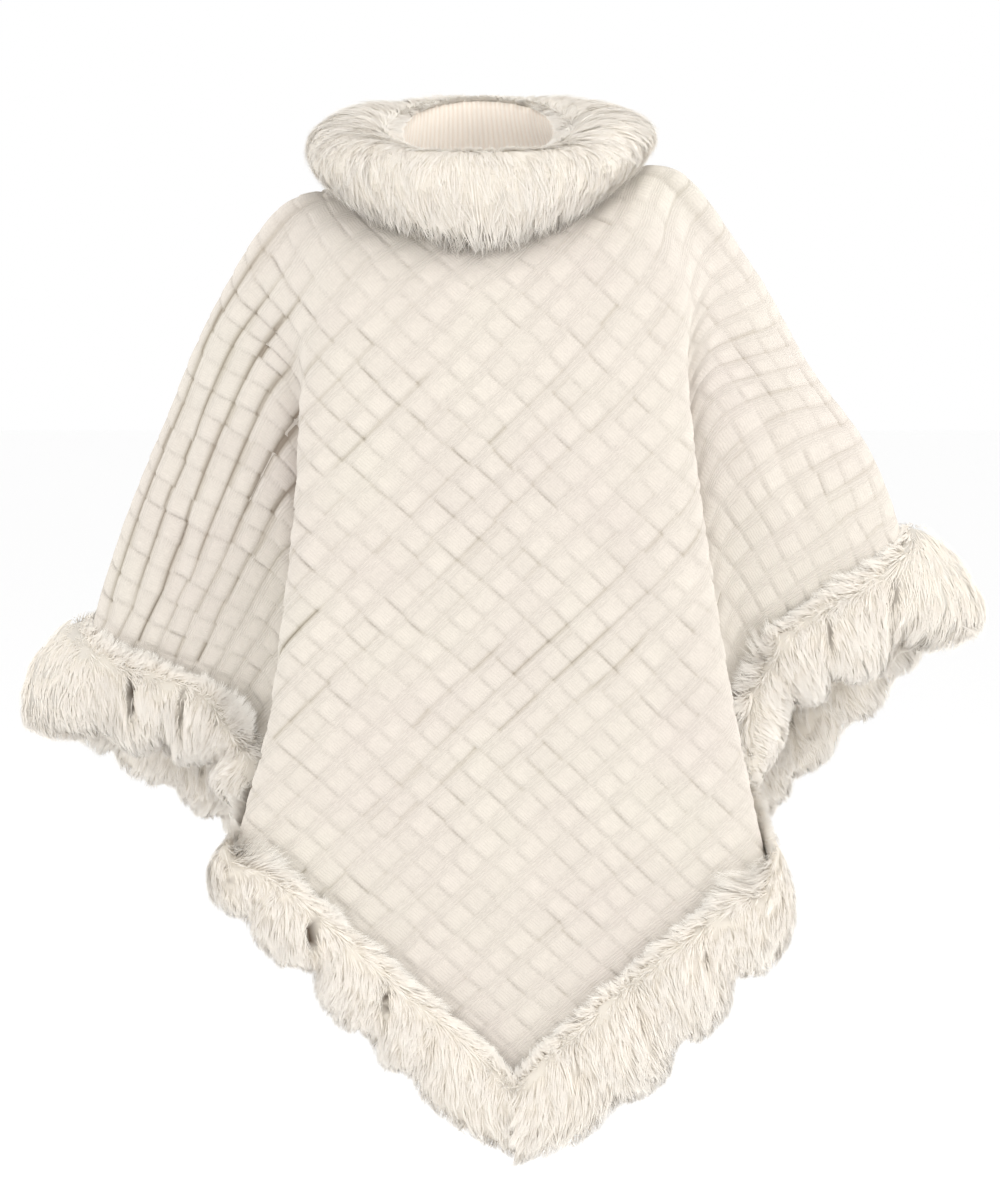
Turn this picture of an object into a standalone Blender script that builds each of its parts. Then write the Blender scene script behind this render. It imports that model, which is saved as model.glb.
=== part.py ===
"""Knit poncho with a fur collar and a fur hem, in the hollow form it takes over a pair of shoulders.

Metres, +Z up, front towards -Y. The origin lies between the shoulder tops, under the middle of the neck.

Each of the two knit panels is a square standing on its corner. Its upper corner is cut away for the neck,
its upper sides are the shoulder and arm seams, and its lower sides are the hems. A place on a panel is
given by p, the run from the cut-away corner along the left seam, and q, the run along the right seam.
The drop (p + q) / sqrt(2) is how far down the panel's diagonal it lies, and the breadth (q - p) / sqrt(2)
how far to the side. The tables below hold where the cloth lies in space, a row for each drop.
"""

import math

import bpy
import numpy as np

# Cut
RIB_COUNT = 27
NECK_RIBS = 7
PANEL_SIDE = 0.650
RIB_PITCH = PANEL_SIDE / RIB_COUNT
NECK_CUT = NECK_RIBS * RIB_PITCH
CORNER_DROP = PANEL_SIDE / math.sqrt(2)

# Cloth
WALL = 0.0030
RIB_HEIGHT = 0.0028
SEAM_GAP = 0.0003
ROWS_DOWN = 24
FAN_SHARE = 0.3

# Neck ring, where the panels meet the collar
NECK_RADIUS_X = 0.0865
NECK_RADIUS_Y = 0.0855
NECK_BLEND = 0.11

# Where the front panel's middle line lies
FRONT_MIDDLE = {
    "drop": (0.10, 0.17, 0.25, 0.33, 0.41, 0.46, 0.53, 0.60, 0.70, 0.92),
    "x": (0.000, 0.000, 0.001, 0.003, 0.006, 0.009, 0.012, 0.016, 0.020, 0.029),
    "y": (-0.045, -0.086, -0.120, -0.136, -0.142, -0.144, -0.144, -0.144, -0.143, -0.140),
    "z": (0.020, -0.018, -0.086, -0.166, -0.246, -0.296, -0.366, -0.436, -0.535, -0.753),
}

# Its left half, from the crest of the armpit fold out to the seam
FRONT_LEFT = {
    "drop": (0.10, 0.17, 0.25, 0.33, 0.41, 0.46, 0.53, 0.60, 0.70, 0.92),
    "crest_x": (-0.040, -0.090, -0.126, -0.146, -0.152, -0.157, -0.166, -0.176, -0.203, -0.240),
    "crest_y": (-0.040, -0.062, -0.100, -0.120, -0.128, -0.132, -0.134, -0.134, -0.130, -0.125),
    "crest_z": (0.016, -0.004, -0.086, -0.168, -0.248, -0.298, -0.368, -0.438, -0.537, -0.755),
    "valley_x": (-0.055, -0.115, -0.158, -0.152, -0.148, -0.150, -0.156, -0.164, -0.190, -0.230),
    "valley_y": (-0.030, -0.044, -0.076, -0.086, -0.082, -0.084, -0.090, -0.096, -0.098, -0.100),
    "valley_z": (0.014, 0.000, -0.086, -0.164, -0.248, -0.302, -0.374, -0.448, -0.545, -0.760),
    "reveal_x": (-0.066, -0.136, -0.186, -0.180, -0.172, -0.172, -0.174, -0.188, -0.215, -0.250),
    "reveal_y": (-0.017, -0.024, -0.052, -0.074, -0.080, -0.078, -0.073, -0.069, -0.066, -0.070),
    "reveal_z": (0.012, 0.002, -0.084, -0.152, -0.236, -0.288, -0.358, -0.422, -0.530, -0.765),
    "seam_x": (-0.058, -0.158, -0.226, -0.275, -0.320, -0.341, -0.328, -0.311, -0.290, -0.260),
    "seam_y": (0.000, 0.000, 0.000, 0.000, 0.000, 0.000, 0.000, 0.000, 0.000, 0.000),
    "seam_z": (0.012, 0.004, -0.083, -0.191, -0.302, -0.374, -0.432, -0.484, -0.572, -0.790),
}

# Its right half, over the raised arm
FRONT_RIGHT = {
    "drop": (0.10, 0.17, 0.25, 0.33, 0.41, 0.46, 0.53, 0.60, 0.70, 0.92),
    "crest_x": (0.040, 0.100, 0.160, 0.169, 0.179, 0.187, 0.199, 0.213, 0.237, 0.270),
    "crest_y": (-0.040, -0.064, -0.096, -0.116, -0.124, -0.128, -0.130, -0.131, -0.128, -0.125),
    "crest_z": (0.020, 0.006, -0.070, -0.160, -0.244, -0.296, -0.370, -0.446, -0.552, -0.760),
    "valley_x": (0.055, 0.118, 0.176, 0.172, 0.174, 0.180, 0.190, 0.202, 0.222, 0.260),
    "valley_y": (-0.030, -0.046, -0.072, -0.086, -0.084, -0.086, -0.090, -0.094, -0.096, -0.100),
    "valley_z": (0.022, 0.018, -0.060, -0.140, -0.214, -0.270, -0.348, -0.424, -0.540, -0.760),
    "reveal_x": (0.066, 0.138, 0.190, 0.194, 0.196, 0.202, 0.210, 0.218, 0.240, 0.280),
    "reveal_y": (-0.017, -0.026, -0.052, -0.074, -0.083, -0.083, -0.078, -0.072, -0.068, -0.070),
    "reveal_z": (0.022, 0.027, -0.052, -0.116, -0.178, -0.238, -0.316, -0.390, -0.520, -0.740),
    "seam_x": (0.058, 0.158, 0.230, 0.284, 0.342, 0.364, 0.350, 0.330, 0.305, 0.290),
    "seam_y": (0.000, 0.000, 0.000, -0.005, -0.014, -0.022, -0.022, -0.022, -0.022, -0.022),
    "seam_z": (0.022, 0.031, -0.050, -0.142, -0.226, -0.292, -0.358, -0.424, -0.530, -0.760),
}

# The back panel's middle line
BACK_MIDDLE = {
    "drop": (0.10, 0.17, 0.25, 0.33, 0.41, 0.46, 0.53, 0.60, 0.70, 0.92),
    "x": (0.000, 0.000, 0.000, 0.001, 0.002, 0.003, 0.004, 0.006, 0.008, 0.012),
    "y": (0.045, 0.086, 0.118, 0.130, 0.130, 0.128, 0.126, 0.126, 0.127, 0.130),
    "z": (0.050, 0.030, -0.042, -0.122, -0.202, -0.252, -0.322, -0.392, -0.492, -0.712),
}

# Its halves, with softer folds
BACK_LEFT = {
    "drop": (0.10, 0.17, 0.25, 0.33, 0.41, 0.46, 0.53, 0.60, 0.70, 0.92),
    "crest_x": (-0.040, -0.086, -0.126, -0.146, -0.154, -0.158, -0.164, -0.172, -0.194, -0.230),
    "crest_y": (0.040, 0.066, 0.100, 0.118, 0.124, 0.125, 0.125, 0.125, 0.123, 0.120),
    "crest_z": (0.040, 0.024, -0.050, -0.132, -0.214, -0.266, -0.338, -0.410, -0.512, -0.722),
    "valley_x": (-0.055, -0.112, -0.160, -0.174, -0.178, -0.182, -0.189, -0.198, -0.220, -0.240),
    "valley_y": (0.030, 0.046, 0.076, 0.090, 0.092, 0.093, 0.094, 0.095, 0.096, 0.096),
    "valley_z": (0.030, 0.018, -0.060, -0.142, -0.228, -0.284, -0.362, -0.438, -0.538, -0.735),
    "reveal_x": (-0.066, -0.134, -0.188, -0.210, -0.222, -0.228, -0.234, -0.240, -0.252, -0.260),
    "reveal_y": (0.017, 0.025, 0.052, 0.072, 0.082, 0.084, 0.084, 0.084, 0.084, 0.084),
    "reveal_z": (0.020, 0.012, -0.068, -0.156, -0.248, -0.308, -0.392, -0.474, -0.566, -0.755),
    "seam_x": (-0.058, -0.158, -0.226, -0.275, -0.320, -0.341, -0.332, -0.320, -0.300, -0.270),
    "seam_y": (0.000, 0.000, 0.000, 0.000, 0.000, 0.000, 0.000, 0.000, 0.000, 0.000),
    "seam_z": (0.012, 0.004, -0.083, -0.191, -0.302, -0.374, -0.450, -0.524, -0.614, -0.790),
}
BACK_RIGHT = {
    "drop": (0.10, 0.17, 0.25, 0.33, 0.41, 0.46, 0.53, 0.60, 0.70, 0.92),
    "crest_x": (0.040, 0.090, 0.134, 0.154, 0.164, 0.170, 0.178, 0.188, 0.210, 0.240),
    "crest_y": (0.040, 0.066, 0.098, 0.116, 0.122, 0.124, 0.124, 0.124, 0.122, 0.120),
    "crest_z": (0.042, 0.030, -0.042, -0.126, -0.208, -0.260, -0.334, -0.408, -0.510, -0.722),
    "valley_x": (0.055, 0.114, 0.166, 0.180, 0.190, 0.198, 0.208, 0.218, 0.238, 0.260),
    "valley_y": (0.030, 0.048, 0.074, 0.086, 0.088, 0.089, 0.090, 0.090, 0.092, 0.092),
    "valley_z": (0.034, 0.030, -0.048, -0.132, -0.214, -0.270, -0.350, -0.430, -0.530, -0.730),
    "reveal_x": (0.066, 0.136, 0.194, 0.218, 0.240, 0.250, 0.258, 0.264, 0.276, 0.285),
    "reveal_y": (0.017, 0.026, 0.050, 0.066, 0.074, 0.075, 0.075, 0.075, 0.075, 0.075),
    "reveal_z": (0.026, 0.030, -0.050, -0.132, -0.214, -0.278, -0.366, -0.450, -0.552, -0.745),
    "seam_x": (0.058, 0.158, 0.230, 0.284, 0.342, 0.364, 0.358, 0.346, 0.326, 0.300),
    "seam_y": (0.000, 0.000, 0.000, -0.005, -0.014, -0.022, -0.018, -0.014, -0.014, -0.014),
    "seam_z": (0.022, 0.031, -0.050, -0.142, -0.226, -0.292, -0.374, -0.456, -0.560, -0.760),
}
FOLD_STOPS = ("crest", "valley", "reveal", "seam")
ARM_ROUNDNESS = 0.13
FRONT_STRETCH = 1.08
BACK_STRETCH = 1.04
SAMPLES_PER_STOP = 24

# Height of the neck ring and its slope outwards, by azimuth (0 front, 90 the right shoulder, 180 back)
NECK_RING = {
    "azimuth": (0, 45, 90, 135, 180, 225, 270, 315, 360),
    "z": (-0.018, -0.004, 0.022, 0.034, 0.034, 0.026, 0.012, -0.008, -0.018),
    "fall": (52, 34, -4, 30, 46, 34, 7, 38, 52),
}

# Collar tube: an outer radius about a rim set a little forward and to the left, ribs on its inner face
COLLAR_RADIUS = 0.0738
COLLAR_FORWARD = 0.004
COLLAR_LEFT = 0.003
COLLAR_BELOW = 0.004
COLLAR_GAP = 0.0019
COLLAR_RIM_MIDDLE = 0.066
COLLAR_RIM_TILT = 0.030
COLLAR_RIB = 0.0008
COLLAR_STATIONS = 56
COLLAR_ROWS = 3

# Collar fur: reach from the neck's axis, lowest and highest level, by azimuth
COLLAR_FUR = {
    "azimuth": (0, 45, 90, 135, 180, 225, 270, 315, 360),
    "reach": (0.155, 0.158, 0.155, 0.142, 0.134, 0.144, 0.156, 0.160, 0.155),
    "low": (-0.036, -0.008, 0.038, 0.039, 0.030, 0.027, 0.020, -0.014, -0.036),
    "high": (0.044, 0.052, 0.082, 0.096, 0.099, 0.095, 0.080, 0.052, 0.044),
}
FUR_FOOT_ABOVE = 0.011
FUR_BELOW_RIM = 0.002
FUR_ROUND_SHARE = 0.56
FUR_SIDE_SHARES = (0.0, 0.5, 1.0)
FUR_ROUND_ANGLES = (106, 76, 46, 18, -10, -38, -66, -92)
FUR_STATIONS = 28
FUR_GAP = 0.0011
FUR_LUMP = 0.003
FUR_LUMPS = 5
FUR_LUMP_DRIFT = 0.6

# Hem fur: section seen along the strip, out = away from the hem, through = off the cloth's face
HEM_SECTION = {
    "out": (0.0005, -0.0110, 0.0060, 0.0420, 0.0660, 0.0660, 0.0420, 0.0060, -0.0110, 0.0005),
    "through": (0.0062, 0.0160, 0.0290, 0.0270, 0.0100, -0.0100, -0.0270, -0.0290, -0.0160, -0.0062),
}
HEM_GROOVE_CORNERS = (0, 9)
PINCH_LENGTH = 0.013

# How far the strips reach beyond the hem, as a share of the section's, by the run from the panel's lower point
STRIP_REACH = {
    "run": (0.000, 0.060, 0.140, 0.280, 0.360, 0.450, 0.650),
    "hem_fur_front_left": (0.94, 0.88, 0.82, 0.84, 0.96, 1.00, 1.00),
    "hem_fur_front_right": (0.94, 0.98, 1.02, 0.98, 1.00, 1.02, 1.04),
    "hem_fur_back_left": (0.98, 0.98, 0.98, 0.98, 0.98, 0.98, 1.00),
    "hem_fur_back_right": (0.98, 0.98, 0.98, 0.98, 0.98, 0.98, 1.04),
}

# The strip turns straight down at the panel's lower point, and fans out round the arm's corner
POINT_FAN = 0.060
CORNER_FAN = 0.075
CORNER_REACH = 1.22
CORNER_LOWERING = 0.0035
CORNER_CLEARANCE = 0.10
CORNER_AWAY = {"left": (-0.62, 0.0, -0.78), "right": (0.70, 0.0, -0.71)}

# In the armpit folds it takes a wider bend than the hem, a little lower and narrower
FOLD_SMOOTHING = 0.024
FOLD_OFFSET = 0.003
FOLD_LOWERING = 0.013
FOLD_NARROWING = 0.30

# Where the strip is pinched, as runs from the panel's lower point, and how deep each pinch is
PINCHES = {
    "hem_fur_front_left": {
        "run": (0.076, 0.127, 0.204, 0.279, 0.360, 0.440, 0.540, 0.595),
        "depth": (0.16, 0.20, 0.30, 0.20, 0.16, 0.18, 0.20, 0.18),
    },
    "hem_fur_front_right": {
        "run": (0.055, 0.127, 0.204, 0.280, 0.360, 0.450, 0.520, 0.590),
        "depth": (0.16, 0.20, 0.24, 0.18, 0.16, 0.18, 0.20, 0.22),
    },
    "hem_fur_back_left": {
        "run": (0.070, 0.150, 0.222, 0.300, 0.375, 0.452, 0.530, 0.600),
        "depth": (0.16, 0.20, 0.18, 0.24, 0.16, 0.20, 0.18, 0.18),
    },
    "hem_fur_back_right": {
        "run": (0.062, 0.140, 0.225, 0.298, 0.380, 0.455, 0.528, 0.598),
        "depth": (0.18, 0.18, 0.24, 0.16, 0.20, 0.18, 0.18, 0.20),
    },
}

RIB_SHARPNESS = 15
FUR_SHARPNESS = 60
KNIT_COLOUR = (0.86, 0.81, 0.71, 1.0)
RIB_KNIT_COLOUR = (0.84, 0.76, 0.67, 1.0)
FUR_COLOUR = (0.90, 0.85, 0.77, 1.0)


def unit(vectors):
    """Vectors at length one."""
    return vectors / np.maximum(np.linalg.norm(vectors, axis=-1, keepdims=True), 1e-12)


def smooth_step(value):
    """A soft rise from 0 to 1."""
    value = np.clip(value, 0.0, 1.0)
    return value * value * (3.0 - 2.0 * value)


def hermite(start, end, start_slope, end_slope, share):
    """The cubic between two values with the given slopes over the whole step."""
    square, cube = share**2, share**3
    return (
        (2 * cube - 3 * square + 1) * start
        + (cube - 2 * square + share) * start_slope
        + (3 * square - 2 * cube) * end
        + (cube - square) * end_slope
    )


def column(table, key, name, at):
    """A table's column read smoothly at any value of its key column."""
    knots = np.asarray(table[key], float)
    values = np.asarray(table[name], float)
    slopes = np.gradient(values, knots)
    low = np.clip(np.searchsorted(knots, at) - 1, 0, len(knots) - 2)
    step = knots[low + 1] - knots[low]
    share = np.clip((at - knots[low]) / step, 0.0, 1.0)
    return hermite(values[low], values[low + 1], slopes[low] * step, slopes[low + 1] * step, share)


def ring_column(table, name, azimuth):
    """A column of a table that goes once round the neck."""
    turned = {"azimuth": table["azimuth"][:-1], name: table[name][:-1]}
    three = {
        "azimuth": [a + turn for turn in (-360, 0, 360) for a in turned["azimuth"]],
        name: list(turned[name]) * 3,
    }
    return column(three, "azimuth", name, np.mod(azimuth, 360.0))


def stop_points(table, stop, drop):
    """Where one stop of a section lies at each drop."""
    return np.stack([column(table, "drop", f"{stop}_{axis}", drop) for axis in "xyz"], axis=-1)


def section_places(middle, near, far, drop, breadth, side_of_seam, body_stretch):
    """Places on a section's half, from the middle through its stops to the seam.

    From the middle to the crest the cloth is body_stretch times the cut; what is left of the cut's breadth
    is spread from the crest to the seam.
    """
    centre = np.stack([column(middle, "drop", axis, drop) for axis in "xyz"], axis=-1)
    stops = np.stack([centre] + [stop_points(near, stop, drop) for stop in FOLD_STOPS], axis=1)
    across = stops[:, 1] - stop_points(far, "crest", drop)
    knots = np.sqrt(np.linalg.norm(np.diff(stops, axis=1), axis=2))
    rates = np.diff(stops, axis=1) / knots[..., None]
    slopes = np.empty_like(stops)
    before, after = knots[:, :-1, None], knots[:, 1:, None]
    slopes[:, 1:-1] = (rates[:, :-1] * after + rates[:, 1:] * before) / (before + after)
    slopes[:, 0] = unit(across) * np.linalg.norm(rates[:, 0], axis=1)[:, None]
    round_over = np.array([0.0, side_of_seam, 0.0])
    slopes[:, -1] = -round_over * ARM_ROUNDNESS / knots[:, -1][:, None]
    share = np.linspace(0.0, 1.0, SAMPLES_PER_STOP, endpoint=False)[None, None, :, None]
    step = knots[:, :, None, None]
    curve = hermite(
        stops[:, :-1, None],
        stops[:, 1:, None],
        slopes[:, :-1, None] * step,
        slopes[:, 1:, None] * step,
        share,
    )
    curve = np.concatenate([curve.reshape(len(drop), -1, 3), stops[:, -1:]], axis=1)
    runs = np.linalg.norm(np.diff(curve, axis=1), axis=2)
    runs = np.concatenate([np.zeros((len(drop), 1)), np.cumsum(runs, axis=1)], axis=1)
    crest_run = runs[:, SAMPLES_PER_STOP]
    crest_breadth = crest_run / body_stretch
    past = (breadth - crest_breadth) / (np.minimum(drop, CORNER_DROP) - crest_breadth)
    wanted = np.where(
        breadth < crest_breadth,
        breadth * body_stretch,
        crest_run + past * (runs[:, -1] - crest_run),
    )
    low = np.clip((runs < wanted[:, None]).sum(axis=1) - 1, 0, runs.shape[1] - 2)
    each = np.arange(len(drop))
    inside = (wanted - runs[each, low]) / np.maximum(runs[each, low + 1] - runs[each, low], 1e-9)
    return curve[each, low] + (curve[each, low + 1] - curve[each, low]) * inside[:, None]


def neck_ring(azimuth, radius_less=0.0):
    """The ring where the panels end at the neck."""
    turn = np.radians(azimuth)
    return np.stack(
        [
            (NECK_RADIUS_X - radius_less) * np.sin(turn),
            -(NECK_RADIUS_Y - radius_less) * np.cos(turn),
            ring_column(NECK_RING, "z", azimuth),
        ],
        axis=-1,
    )


def panel_places(p, q, front):
    """Where places on a panel lie in space."""
    middle, left, right, side, stretch = (
        (FRONT_MIDDLE, FRONT_LEFT, FRONT_RIGHT, -1.0, FRONT_STRETCH)
        if front
        else (BACK_MIDDLE, BACK_LEFT, BACK_RIGHT, 1.0, BACK_STRETCH)
    )
    drop = (p + q) / math.sqrt(2)
    breadth = (q - p) / math.sqrt(2)
    on_left = section_places(middle, left, right, drop, np.abs(breadth), side, stretch)
    on_right = section_places(middle, right, left, drop, np.abs(breadth), side, stretch)
    hung = np.where((breadth < 0)[:, None], on_left, on_right)
    turn = np.degrees(np.arctan2(q, p)) * 2.0 - 90.0
    azimuth = turn if front else 180.0 - turn
    run = np.hypot(p, q) - NECK_CUT
    fall = np.radians(ring_column(NECK_RING, "fall", azimuth))
    outward = np.stack([np.sin(np.radians(azimuth)), -np.cos(np.radians(azimuth)), 0 * azimuth], axis=-1)
    downward = np.array([0.0, 0.0, -1.0])
    slope = outward * np.cos(fall)[:, None] + downward * np.sin(fall)[:, None]
    cone = neck_ring(azimuth) + run[:, None] * slope
    return cone + (hung - cone) * smooth_step(run / NECK_BLEND)[:, None]


def panel_grid(front):
    """The panel's grid of p and q: a column on each rib's groove and crest, fanned out along the neck cut."""
    columns = 2 * RIB_COUNT
    across = np.linspace(0.0, PANEL_SIDE, columns + 1)
    down = np.linspace(0.0, 1.0, ROWS_DOWN + 1)[:, None]
    angle = np.minimum(across / NECK_CUT, 1.0) * math.pi / 2
    start_p = NECK_CUT * np.cos(angle)
    start_q = np.where(across < NECK_CUT, NECK_CUT * np.sin(angle), across)
    p = start_p + (PANEL_SIDE - start_p) * down
    q = start_q + (across - start_q) * smooth_step(down / FAN_SHARE)
    places = panel_places(p.ravel(), q.ravel(), front)
    return places.reshape(ROWS_DOWN + 1, columns + 1, 3)


def grid_normals(grid):
    """Unit normals of a grid of places, facing away from the wearer."""
    down = np.gradient(grid, axis=0)
    across = np.gradient(grid, axis=1)
    return unit(np.cross(down, across))


def seam_mask(shape):
    """Which places of a panel's grid lie on a seam: the first column, and the first row past the neck cut."""
    mask = np.zeros(shape, bool)
    mask[:, 0] = True
    mask[0, 2 * NECK_RIBS :] = True
    return mask


def panel_wall(front):
    """A panel's middle surface and its normals, with the seams parted."""
    side = -1.0 if front else 1.0
    grid = panel_grid(front)
    normals = grid_normals(grid) * -side
    mask = seam_mask(grid.shape[:2])
    normals[mask] *= np.array([1.0, 0.0, 1.0])
    normals = unit(normals)
    grid[mask] += np.array([0.0, side * SEAM_GAP / 2, 0.0])
    return grid, normals


def wall_mesh(outer, inner, flip):
    """Points and faces of a closed wall between two grids, its four rims filled.

    Each cell is split down the drop, the way the folds run.
    """
    rows, columns = outer.shape[:2]
    points = np.concatenate([outer.reshape(-1, 3), inner.reshape(-1, 3)])
    index = np.arange(rows * columns).reshape(rows, columns)
    under = index + rows * columns
    faces = []
    for i in range(rows - 1):
        for j in range(columns - 1):
            faces.append((index[i, j], index[i + 1, j], index[i + 1, j + 1]))
            faces.append((index[i, j], index[i + 1, j + 1], index[i, j + 1]))
            faces.append((under[i, j], under[i + 1, j + 1], under[i + 1, j]))
            faces.append((under[i, j], under[i, j + 1], under[i + 1, j + 1]))
    border = (
        list(index[:-1, 0]) + list(index[-1, :-1]) + list(index[:0:-1, -1]) + list(index[0, :0:-1])
    )
    for k, here in enumerate(border):
        there = border[(k + 1) % len(border)]
        faces.append((there, here, here + rows * columns, there + rows * columns))
    return points, [face[::-1] for face in faces] if flip else faces


def ring_mesh(sections, closed_round):
    """Points and faces of a body lofted through closed sections, in a ring or with its two ends capped."""
    count, around = sections.shape[:2]
    index = np.arange(count * around).reshape(count, around)
    faces = []
    for i in range(count if closed_round else count - 1):
        after = (i + 1) % count
        for j in range(around):
            beside = (j + 1) % around
            faces.append((index[i, j], index[after, j], index[after, beside], index[i, beside]))
    if not closed_round:
        faces.append(tuple(index[0]))
        faces.append(tuple(index[-1][::-1]))
    return sections.reshape(-1, 3), faces


def signed_volume(points, faces):
    """Six times the volume inside the faces, negative where they point inwards."""
    total = 0.0
    for face in faces:
        a = points[face[0]]
        for b, c in zip(face[1:-1], face[2:]):
            total += np.dot(a, np.cross(points[b], points[c]))
    return total


def add_node(collection, name, points, faces, material, sharp_above):
    """An object with its faces outwards, shaded smooth but for edges sharper than an angle in degrees."""
    if signed_volume(points, faces) < 0:
        faces = [face[::-1] for face in faces]
    mesh = bpy.data.meshes.new(name)
    mesh.from_pydata([tuple(map(float, point)) for point in points], [], [tuple(map(int, f)) for f in faces])
    mesh.materials.append(material)
    mesh.shade_smooth()
    mesh.set_sharp_from_angle(angle=math.radians(sharp_above))
    node = bpy.data.objects.new(name, mesh)
    collection.objects.link(node)
    return node


def add_material(name, colour, roughness):
    """A plain cloth or fur finish."""
    material = bpy.data.materials.new(name)
    material.use_nodes = True
    shader = material.node_tree.nodes["Principled BSDF"]
    shader.inputs["Base Color"].default_value = colour
    shader.inputs["Roughness"].default_value = roughness
    shader.inputs["Metallic"].default_value = 0.0
    material.diffuse_color = colour
    return material


def add_panel(collection, name, front, material):
    """A knit panel: ribs stand out from its face, its inside is plain. Returns its surface for the hem."""
    grid, normals = panel_wall(front)
    crest = (np.arange(grid.shape[1]) % 2 == 1) * RIB_HEIGHT
    outer = grid + normals * (WALL / 2 + crest)[None, :, None]
    inner = grid - normals * WALL / 2
    points, faces = wall_mesh(outer, inner, flip=not front)
    add_node(collection, name, points, faces, material, RIB_SHARPNESS)
    return grid, normals


def rim_height(azimuth):
    """Level of the collar tube's rim."""
    return COLLAR_RIM_MIDDLE - COLLAR_RIM_TILT * np.cos(np.radians(azimuth))


def add_collar_tube(collection, material):
    """The rib-knit tube that stands in the neck cut."""
    azimuth = np.arange(COLLAR_STATIONS) * 360.0 / COLLAR_STATIONS
    turn = np.radians(azimuth)
    foot = neck_ring(azimuth, COLLAR_GAP) - np.array([0.0, 0.0, COLLAR_BELOW])
    rim = np.stack(
        [
            COLLAR_RADIUS * np.sin(turn) - COLLAR_LEFT,
            -COLLAR_RADIUS * np.cos(turn) - COLLAR_FORWARD,
            rim_height(azimuth),
        ],
        axis=-1,
    )
    inward = np.stack([-np.sin(turn), np.cos(turn), 0 * turn], axis=-1)
    ribs = (np.arange(COLLAR_STATIONS) % 2) * COLLAR_RIB
    outer = []
    for lift in np.linspace(0.0, 1.0, COLLAR_ROWS + 1):
        share = smooth_step(lift)
        outer.append(foot + (rim - foot) * np.array([share, share, lift]))
    inner = [place + inward * (WALL + ribs)[:, None] for place in outer]
    points, faces = ring_mesh(np.stack(outer + inner[::-1], axis=1), closed_round=True)
    add_node(collection, "collar_knit", points, faces, material, RIB_SHARPNESS)


def tube_radius_at(azimuth, level):
    """Outer radius of the collar tube about the neck's axis, at a level."""
    turn = np.radians(azimuth)
    foot = ring_column(NECK_RING, "z", azimuth) - COLLAR_BELOW
    lift = np.clip((level - foot) / (rim_height(azimuth) - foot), 0.0, 1.0)
    low = np.hypot(NECK_RADIUS_X * np.sin(turn), NECK_RADIUS_Y * np.cos(turn)) - COLLAR_GAP
    high = COLLAR_RADIUS + COLLAR_FORWARD * np.cos(turn) - COLLAR_LEFT * np.sin(turn)
    return low + (high - low) * smooth_step(lift)


def add_collar_fur(collection, material):
    """The fur round the collar: one soft ring whose inner side follows the tube."""
    azimuth = np.arange(FUR_STATIONS) * 360.0 / FUR_STATIONS
    turn = np.radians(azimuth)
    outward = np.stack([np.sin(turn), -np.cos(turn), 0 * turn], axis=-1)
    upward = np.array([0.0, 0.0, 1.0])
    lump = FUR_LUMP * np.sin(turn * FUR_LUMPS + FUR_LUMP_DRIFT * np.sin(3 * turn))
    reach = ring_column(COLLAR_FUR, "reach", azimuth) + lump
    low = ring_column(COLLAR_FUR, "low", azimuth)
    high = ring_column(COLLAR_FUR, "high", azimuth)
    foot = ring_column(NECK_RING, "z", azimuth) + FUR_FOOT_ABOVE
    rim = rim_height(azimuth) - FUR_BELOW_RIM
    sections = []
    for share in FUR_SIDE_SHARES:
        level = foot + (rim - foot) * share
        radius = tube_radius_at(azimuth, level) + FUR_GAP
        sections.append(outward * radius[:, None] + upward * level[:, None])
    width = (reach - tube_radius_at(azimuth, rim) - FUR_GAP) * FUR_ROUND_SHARE
    for angle in np.radians(FUR_ROUND_ANGLES):
        radius = reach - width + width * math.cos(angle)
        level = (low + high) / 2 + (high - low) / 2 * math.sin(angle)
        sections.append(outward * radius[:, None] + upward * level[:, None])
    points, faces = ring_mesh(np.stack(sections, axis=1), closed_round=True)
    add_node(collection, "collar_fur", points, faces, material, FUR_SHARPNESS)


def hem_of(grid, normals, left):
    """A hem's places and normals, from the panel's lower point outwards, with a step of about a rib's half."""
    places = grid[-1, ::-1] if left else grid[::-1, -1]
    upright = normals[-1, ::-1] if left else normals[::-1, -1]
    parts = 1 if left else 2
    count = len(places)
    at = np.arange((count - 1) * parts + 1) / parts
    low = np.minimum(at.astype(int), count - 2)
    share = (at - low)[:, None]
    return (
        places[low] * (1 - share) + places[low + 1] * share,
        unit(upright[low] * (1 - share) + upright[low + 1] * share),
    )


def smoothed(values, run, width):
    """Values along a run, each the bell-weighted mean of those around it."""
    weights = np.exp(-(((run[:, None] - run[None, :]) / width) ** 2))
    return weights @ values / weights.sum(axis=1, keepdims=True)


def strip_frame(hem, upright, run, left, front):
    """A strip's path with its two section directions, away from the hem and through the cloth, and its fold share."""
    from_point = smooth_step(1.0 - run / POINT_FAN)[:, None]
    from_corner = smooth_step(1.0 - (PANEL_SIDE - run) / CORNER_FAN)[:, None]
    path = smoothed(hem, run, FOLD_SMOOTHING)
    path = hem + (path - hem) * (1 - from_point) * (1 - from_corner)
    fold = smooth_step(np.linalg.norm(path - hem, axis=1) / FOLD_OFFSET)[:, None]
    upright = unit(smoothed(upright, run, FOLD_SMOOTHING) * fold + upright * (1 - fold))
    towards = unit(np.gradient(path, axis=0))
    away = unit(np.cross(towards, upright))
    if left == front:
        away = -away
    away = away * (1 - from_point) + np.array([0.0, 0.0, -1.0]) * from_point
    away = unit(away * (1 - from_corner) + np.array(CORNER_AWAY["left" if left else "right"]) * from_corner)
    to_seam = np.array([0.0, 1.0 if front else -1.0, 0.0])
    across = np.cross(away, unit(towards * (1 - from_corner) + to_seam * from_corner))
    across *= np.sign((across * upright).sum(axis=1, keepdims=True))
    across = unit(across * (1 - from_point) - to_seam * from_point)
    return path, away, across, fold[:, 0], from_corner[:, 0]


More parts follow.
